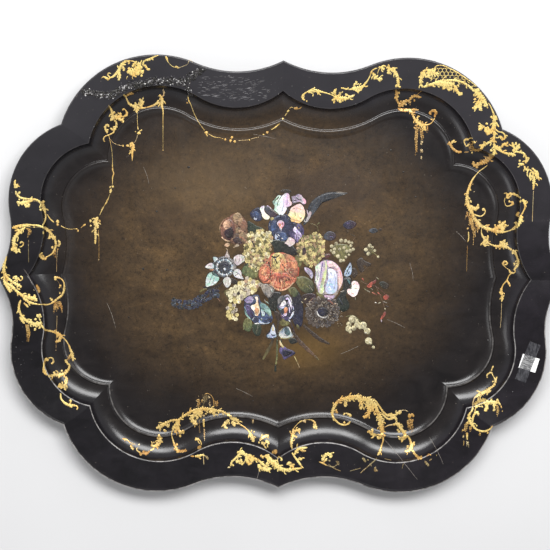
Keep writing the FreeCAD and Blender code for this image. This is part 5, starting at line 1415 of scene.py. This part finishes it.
def star_flower():
    """The passion flower's eye and its corona of fine filaments."""
    paint = Paint(405)
    x, y = -77.5, 11.5
    paint.level = 2
    paint.patch(oval(x, y, 9.6, 9.6, 12), *tone("slate", "soot"))
    paint.level = 3
    filaments = 34
    for k in range(filaments):
        a = 6.283 * k / filaments
        r0, r1 = paint.rng.uniform(7.4, 9.4), paint.rng.uniform(12, 15)
        paint.line([(x + r0 * math.cos(a), y + r0 * math.sin(a), 0.7),
                    (x + r1 * math.cos(a + 0.05), y + r1 * math.sin(a + 0.05), 0.9)],
                   PIGMENTS[("white", "sky", "slate", "white", "grey", "teal")[k % 6]])
    lay(paint, """
s soot navy -82,13,2 -77,16,2.4 -72,13,2; s ink slate -83,8,1.2 -80,5,1.2; s ink slate -73,6,1.2
-71,9,1.2; s soot soot -81,10,1 -77,12,1; p white sky -79,9.5 -76.6,10.6 -74.8,8.4 -77,6.4;
s slate soot -87,20,1.2 -80,24,1.2 -72,24,1; s teal slate -90,14,1.6 -90,8,1.6; s slate grey
-66,10,1.2 -65,15,1.2
""")
    paint.make("paint_star_flower", OIL, "flower_paint")


OIL = pigment_paint()
for flower in (posy, hydrangeas, florets, dark_dahlia, hyacinth, star_flower):
    flower()


# ---------------------------------------------------------------- shell, label and tape
def dress(node, material):
    """Gives a carried-over node its finished material."""
    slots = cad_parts[node].data.materials
    slots.clear()
    slots.append(material)


def nacre(name, stops, turn, seed):
    """Polished shell: iridescent bands across the slip, clouded, with painted highlights, growth
    lines and cracks.
    """
    scale, cloud = 70, 0.55
    node = "pearl_" + name
    (x0, y0, _), (x1, y1, _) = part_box(node)
    ux, uy = math.cos(math.radians(turn)), math.sin(math.radians(turn))
    reach = (abs(ux) * (x1 - x0) + abs(uy) * (y1 - y0)) / 2
    m = Nodes("nacre_" + name)
    px, py, _ = m.split()
    across = m.add(m.times(px, ux / (2 * reach)), m.times(py, uy / (2 * reach)))
    across = m.add(across, 0.5 - ((x0 + x1) * ux + (y0 + y1) * uy) / (4 * reach))
    drift = m.noise(scale, 3, 0.5, seed=(seed * 0.31, seed * 0.17, 0), distort=0.6)
    t = m.add(across, m.times(m.math("SUBTRACT", drift, 0.5), cloud))
    last = len(stops) - 1
    colour = m.ramp(t, *[(i / last, ink(*c)) for i, c in enumerate(stops)])
    fire = m.noise(scale * 2.6, 3, 0.6, seed=(seed, 2.0, 0), distort=1.2)
    sheen = m.ramp(fire, (0.36, ink(196, 226, 214)), (0.46, ink(252, 250, 246)),
                   (0.54, ink(244, 222, 232)), (0.64, ink(206, 222, 244)))
    colour = m.darken(0.85, colour, sheen)
    # painted highlights: near-white flecks of reflected light on the shell
    painted_shell_glint = m.smooth(m.noise(scale * 5, 2, 0.5, seed=(1.0, seed, 0)), 0.60, 0.70)
    colour = m.mix(m.times(painted_shell_glint, 0.6), colour, ink(255, 253, 250))
    lines = m.noise(scale * 4, 3, 0.6, stretch=(1 + 2.5 * abs(uy), 1 + 2.5 * abs(ux), 1),
                    seed=(seed, 5.0, 0))
    colour = m.mix(m.smooth(lines, 0.30, 0.46, 0.42, 0.0), colour, ink(96, 100, 112))
    crack = m.tree.nodes.new("ShaderNodeTexVoronoi")
    crack.feature = "DISTANCE_TO_EDGE"
    m.link(m.at, crack.inputs["Vector"])
    crack.inputs["Scale"].default_value = 260
    seam = m.smooth(crack.outputs["Distance"], 0.01, 0.06, 0.35, 0.0)
    colour = m.mix(seam, colour, ink(70, 64, 66))
    m.bump(lines, 0.3, 0.0003)
    dress(node, m.done(Base_Color=colour, Roughness=m.add(0.16, m.times(lines, 0.2)),
                       Coat_Weight=0.4, Coat_Roughness=0.12))


# colours of the bands across each slip, and the way they run in degrees
SHELL = {
    "crown_left": (((120, 180, 150), (200, 226, 208), (236, 238, 236), (206, 180, 208),
                    (236, 210, 190)), 10),
    "crown_back": (((150, 128, 140), (138, 128, 148), (196, 176, 188), (232, 176, 186)), -20),
    "crown_right": (((226, 172, 110), (236, 222, 160), (238, 206, 182), (238, 196, 196)), 80),
    "crown_side": (((150, 136, 150), (176, 160, 160), (150, 160, 156)), -60),
    "blue_flower": (((236, 232, 190), (248, 246, 232), (196, 186, 210)), 80),
    "blue_flower_tip": (((210, 216, 224), (176, 190, 210)), 0),
    "violet_heart": (((170, 196, 226), (222, 160, 150), (196, 150, 176), (214, 200, 210)), 80),
    "violet_foot": (((150, 166, 186), (190, 202, 214), (120, 140, 170)), 60),
    "lilac_upper": (((160, 130, 196), (196, 176, 220), (236, 232, 244)), 80),
    "lilac_lower": (((222, 206, 206), (198, 186, 176), (214, 190, 200)), 40),
    "star_west": (((240, 240, 238), (214, 202, 200), (170, 190, 196)), 0),
    "star_southwest": (((214, 224, 214), (196, 212, 206), (150, 196, 178), (206, 216, 206)), 60),
    "star_south": (((206, 206, 196), (190, 194, 182), (226, 224, 214)), 30),
    "star_east": (((176, 180, 178), (214, 212, 206), (196, 192, 196)), -30),
    "star_northeast": (((176, 170, 164), (206, 196, 196), (190, 186, 160)), 20),
    "star_north": (((166, 162, 158), (196, 176, 166)), 80),
    "star_northwest": (((150, 168, 170), (196, 206, 206)), 20),
    "star_eye": (((96, 118, 130), (196, 206, 212), (150, 170, 176), (220, 226, 228)), 30),
    "rose_heart": (((196, 206, 222), (176, 196, 222), (206, 216, 236), (246, 244, 248)), 80),
    "rose_left": (((206, 222, 190), (226, 232, 214), (186, 160, 190), (206, 226, 150),
                   (196, 180, 206)), -10),
    "rose_right": (((232, 176, 150), (240, 204, 186), (240, 196, 206), (246, 206, 200)), 70),
    "rose_foot": (((196, 160, 190), (222, 186, 200), (176, 150, 186)), 0),
    "leaf_bud": (((130, 150, 166), (176, 196, 212), (120, 136, 150)), 50),
    "pink_bud": (((244, 214, 206), (250, 238, 230), (236, 190, 190)), 50),
    "small_leaf": (((190, 176, 200), (160, 150, 170), (190, 186, 190)), -50),
    "bindweed_star": (((246, 236, 206), (250, 246, 232), (226, 196, 150), (244, 240, 226)), 60),
    "bindweed_crown": (((96, 90, 130), (160, 150, 176), (120, 116, 150)), -20),
    "bindweed_east": (((120, 166, 170), (206, 222, 216), (96, 140, 160)), 70),
    "bindweed_south": (((110, 140, 190), (196, 210, 226), (86, 116, 176)), 10),
    "bindweed_west": (((96, 150, 160), (110, 136, 190), (150, 190, 196)), 70),
    "anemone_left": (((236, 240, 250), (206, 206, 240), (170, 206, 206)), -40),
    "anemone_right": (((206, 190, 230), (240, 236, 248), (150, 140, 200)), -60),
    "anemone_foot": (((176, 160, 214), (230, 214, 236), (130, 120, 176)), 30),
    "anemone_side": (((176, 190, 220), (226, 230, 244)), 60),
    "grey_petal": (((120, 136, 136), (176, 190, 186), (146, 156, 160)), 50),
    "bell_left": (((96, 116, 166), (196, 206, 216), (236, 236, 220)), 80),
    "bell_right": (((206, 210, 176), (190, 196, 190), (120, 146, 160), (216, 216, 204)), 70),
}
for order, (name, (stops, turn)) in enumerate(SHELL.items()):
    nacre(name, stops, turn, seed=order + 1)


def paper():
    """White label stock, a little smudged."""
    m = Nodes("label_paper")
    fibre = m.noise(900, 4, 0.7, stretch=(1, 2.5, 1))
    smudge = m.smooth(m.noise(120, 4, 0.6, seed=(3, 3, 0)), 0.52, 0.70)
    colour = m.ramp(fibre, (0.3, ink(222, 222, 220)), (0.7, ink(242, 242, 240)))
    colour = m.mix(m.times(smudge, 0.35), colour, ink(176, 174, 170))
    m.bump(fibre, 0.3, 0.0002)
    return m.done(Base_Color=colour, Roughness=m.add(0.55, m.times(fibre, 0.3)))


def tape():
    """Clear tape, creased, dark from the varnish under it, the lighter grey of its creases a
    painted sheen.
    """
    m = Nodes("clear_tape")
    crease_and_sheen = m.noise(200, 4, 0.65, stretch=(3, 0.6, 1))
    # painted sheen: lighter grey along the creases of the tape
    colour = m.ramp(crease_and_sheen, (0.35, ink(44, 44, 48)), (0.65, ink(96, 96, 100)))
    m.bump(crease_and_sheen, 0.4, 0.0003)
    return m.done(Base_Color=colour, Roughness=m.add(0.15, m.times(crease_and_sheen, 0.25)), Alpha=0.45)


dress("lot_label", paper())
dress("label_tape", tape())


def shell_outlines():
    """The painter's dark line round every slip of shell, from the rim of its top face."""
    paint = Paint(406)
    paint.level = 3
    for name in SHELL:
        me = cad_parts["pearl_" + name].data
        where = [tuple(round(c / MM, 3) for c in v.co) for v in me.vertices]
        uses = {}
        for poly in me.polygons:
            at = [where[i] for i in poly.vertices]
            if poly.normal.z > 0.9 and min(p[2] for p in at) > BODY_T + 0.05:
                for a, b in zip(at, at[1:] + at[:1]):
                    key = (a[:2], b[:2])
                    uses[key] = uses.get(key, 0) + 1
        rim = {a: b for a, b in uses if (b, a) not in uses}
        while rim:
            a, b = rim.popitem()
            loop = [a]
            while b in rim:
                loop.append(b)
                b = rim.pop(b)
            if len(loop) < 4:
                continue
            pts = [loop[0]]
            for p in loop[1:]:
                if math.dist(p, pts[-1]) > 2.2:
                    pts.append(p)
            if len(pts) < 4:
                continue
            shift = paint.rng.randrange(len(pts))
            pts = pts[shift:] + pts[:shift] + [pts[shift]]
            soft = name.startswith("rose")
            widths = (0.2, 0.6) if soft else (0.35, 1.0)
            paint.line([(x, y, paint.rng.uniform(*widths)) for x, y in pts],
                       PIGMENTS["grey" if soft else "soot"], PIGMENTS["lilac" if soft else "umber"])
    paint.make("paint_shell_outlines", OIL, "flower_paint")


shell_outlines()


# ---------------------------------------------------------------- old damage
def flake(paint, x, y, size, tint):
    """A small ragged chip, left out where it would hang over the edge."""
    if not inside(x, y, BOARD):
        return
    edge = [(x + size * paint.rng.uniform(0.45, 1.1) * math.cos(a),
             y + size * paint.rng.uniform(0.4, 1.0) * math.sin(a)) for a in around(6)]
    paint.patch(edge, tint, [0.6 * v for v in tint], 0.3, paint.rng.uniform(0.02, 0.35))


def mended_crack(paint):
    """Broken and lifted varnish along the crack and its fork, under dark and grey seams."""
    path, _ = spline([(-275, 254, 5), (-262, 250, 7), (-248, 247, 8), (-234, 246, 9),
                      (-222, 253, 9), (-208, 259, 9), (-190, 263, 8), (-172, 266, 8),
                      (-155, 267, 9), (-142, 266, 10), (-130, 266, 12), (-126, 272, 9),
                      (-115, 279, 7), (-105, 286, 5)], 1)
    fork, _ = spline([(-130, 266, 9), (-128, 257, 7), (-126, 247, 5)], 1)
    shades = [(ink(9, 8, 9), 6), (ink(40, 38, 42), 3), (ink(96, 94, 98), 3),
              (ink(215, 213, 213), 4)]
    bag = [shade for shade, share in shades for _ in range(share)]
    for k in range(760):
        way = path if k % 8 else fork
        x, y, w = way[paint.rng.randrange(len(way))]
        shade = paint.rng.choice(bag)
        sizes = (0.5, 1.3) if shade[0] > 0.1 else (1.2, 3.4)
        size = paint.rng.uniform(*sizes)
        flake(paint, x + paint.rng.gauss(0, 1.5), y + paint.rng.gauss(0, w * 0.30), size, shade)
    for way in (path, fork):
        for shift, shade in ((-2.6, (10, 9, 10)), (0, (10, 9, 10)), (1.6, (120, 118, 120)),
                             (-1.4, (72, 70, 74))):
            seam = [(x + paint.rng.uniform(-1, 1), y + shift + paint.rng.uniform(-1.4, 1.4),
                     paint.rng.uniform(0.8, 2.6)) for x, y, _ in way[4:-3:5]]
            paint.line(seam, ink(*shade))


def scuffs_and_sheen(paint):
    """The brushed, scuffed patch beside the crack: fine grey streaks, partly scratches and partly a
    painted sheen.
    """
    for _ in range(230):
        x, y = paint.rng.uniform(-118, -22), paint.rng.uniform(240, 276)
        if abs(y - 258 + 0.05 * (x + 70)) > 17 - 0.09 * abs(x + 70) or not inside(x, y, BOARD):
            continue
        # grey streaks: scratches that also stand for a painted sheen
        long, grey = paint.rng.uniform(2, 8), paint.rng.choice((58, 70, 84, 100, 122))
        mid = (x + long * 0.5, y + paint.rng.uniform(-0.5, 0.9), paint.rng.uniform(0.3, 0.7))
        end = (x + long, y + paint.rng.uniform(-1, 1.6), 0.25)
        paint.line([(x, y, 0.25), mid, end], ink(grey, grey - 1, grey + 3))


def chips(paint):
    """Chipped fields (a box in mm, and how many), nicks in the lip, pits and scratches."""
    for x0, y0, x1, y1, count in ((-380, -145, -352, -40, 44), (-300, 225, -120, 262, 30),
                                  (-378, 30, -350, 140, 18), (-60, 238, 40, 268, 16),
                                  (290, -190, 340, -60, 16), (-330, -200, -250, -120, 14)):
        for _ in range(count):
            flake(paint, paint.rng.uniform(x0, x1), paint.rng.uniform(y0, y1),
                  paint.rng.uniform(0.25, 0.7),
                  paint.rng.choice([ink(150, 148, 148), ink(96, 94, 98), ink(20, 18, 20)]))
    lip = ring(RIM_W - 0.5, ARC_STEPS)
    for _ in range(70):
        x, y = lip[paint.rng.randrange(len(lip))]
        size, grey = paint.rng.uniform(0.3, 0.9), paint.rng.choice((120, 150, 90))
        flake(paint, x, y, size, ink(grey, grey, grey))
    for x, y, size in ((168, 146, 1.6), (172, 122, 1.2), (186, 112, 1.5), (-172, 88, 1.8),
                       (-190, 8, 2.2), (-146, 121, 1.4), (-157, 7, 1.6), (-128, 150, 2.2),
                       (190, 60, 1.2), (-210, -60, 1.4), (120, -130, 1.1), (205, -20, 1.2),
                       (64, 168, 1.3), (-60, 176, 1.2), (-36, -178, 1.2), (150, 176, 1.6),
                       (-118, -132, 1.2), (226, 96, 1.2)):
        flake(paint, x, y, size, ink(22, 18, 16))
    for x0, y0, x1, y1 in ((243, 65, 258, 50), (-190, 150, -182, 126), (86, -110, 112, -98),
                           (-60, -160, -36, -172), (180, 20, 186, -6), (-240, -40, -228, -76),
                           (150, -60, 176, -72), (-40, 196, -8, 190), (214, -228, 232, -262),
                           (150, -232, 196, -284), (-352, 10, -340, -14), (-30, -284, -26, -262)):
        paint.line([(x0, y0, 0.35), ((x0 + x1) / 2 + 1, (y0 + y1) / 2, 0.5), (x1, y1, 0.3)],
                   ink(128, 120, 112))


def damage():
    paint = Paint(500)
    mended_crack(paint)
    scuffs_and_sheen(paint)
    chips(paint)
    paint.make("old_damage", OIL, "japanned_board")


def peony_veins():
    """Fine brush lines fanning out over the peony's petals."""
    paint = Paint(610)
    paint.level = 4
    for _ in range(150):
        a = math.radians(paint.rng.uniform(-205, 25))
        r = paint.rng.uniform(0.30, 0.86)
        deep = 42 if math.sin(a) < 0 else 12
        ends = [(-2 + 27 * q * math.cos(a), 20 + deep * q * math.sin(a))
                for q in (r, r + 0.07, r + 0.14)]
        tint = paint.pick("wine", "red", "russet", "peach", "straw", "umber", "orange")
        paint.line([(*e, w) for e, w in zip(ends, (0.3, 0.7, 0.3))], tint)
    paint.make("paint_peony_veins", OIL, "flower_paint")


damage()
peony_veins()


# ---------------------------------------------------------------- stage
def stage():
    """A pale tabletop in a soft white room, lit from a window beyond the tray."""
    wide = 12
    floor = add_mesh("floor_plane", [(x, y, -0.0005) for x, y in
                                     ((-wide, -wide), (wide, -wide), (wide, wide), (-wide, wide))],
                     [(0, 1, 2, 3)])
    m = Nodes("pale_floor")
    colour = m.ramp(m.noise(2, 3), (0.3, (0.565, 0.565, 0.57)), (0.7, (0.60, 0.60, 0.605)))
    floor.data.materials.append(m.done(Base_Color=colour, Roughness=0.7))

    # dimmer straight overhead, so that black varnish stays black
    world = bpy.data.worlds.new("studio")
    bpy.context.scene.world = world
    world.use_nodes = True
    tree = world.node_tree
    coords = tree.nodes.new("ShaderNodeTexCoord")
    split = tree.nodes.new("ShaderNodeSeparateXYZ")
    ramp = tree.nodes.new("ShaderNodeValToRGB")
    tree.links.new(coords.outputs["Generated"], split.inputs[0])
    tree.links.new(split.outputs["Z"], ramp.inputs[0])
    stops = ((0.0, 0.95), (0.55, 0.90), (0.80, 0.42), (1.0, 0.26))
    while len(ramp.color_ramp.elements) < len(stops):
        ramp.color_ramp.elements.new(0.5)
    for e, (at, v) in zip(ramp.color_ramp.elements, stops):
        e.position, e.color = at, (v, v, v * 1.01, 1)
    bg = tree.nodes["Background"]
    tree.links.new(ramp.outputs[0], bg.inputs["Color"])
    bg.inputs["Strength"].default_value = 0.74

    def area(name, at, size, power):
        data = bpy.data.lights.new(name, "AREA")
        data.shape = "RECTANGLE"
        data.size, data.size_y = size
        data.energy = power
        ob = bpy.data.objects.new(name, data)
        bpy.context.scene.collection.objects.link(ob)
        ob.location = at
        ob.rotation_euler = (-Vector(at)).to_track_quat("-Z", "Y").to_euler()

    area("window", (0.25, 1.1, 1.85), (2.0, 0.75), 74)
    area("fill", (-1.7, -1.1, 1.5), (1.2, 0.8), 8)
    bpy.context.scene.view_settings.view_transform = "Standard"


stage()


def camera():
    """Nearly straight down, from about two metres, the tray turned a little in each axis."""
    data = bpy.data.cameras.new("photo_camera")
    data.sensor_width = 36.0
    data.lens = 36.0 * 1500 / 550  # a long lens: focal length 2.7 times the frame's width
    cam = bpy.data.objects.new("photo_camera", data)
    bpy.context.scene.collection.objects.link(cam)
    x, y, z = (math.radians(a) for a in (8.01, 1.71, -0.48))
    turn = Matrix.Rotation(z, 3, "Z") @ Matrix.Rotation(y, 3, "Y") @ Matrix.Rotation(x, 3, "X")
    shift = Vector((0.00718, -0.00116, -2.085))
    place = -(turn.transposed() @ shift) + Vector((0, 0, BODY_T * MM))
    cam.matrix_world = Matrix.Translation(place) @ turn.transposed().to_4x4()
    data.clip_end = 20
    bpy.context.scene.camera = cam


camera()
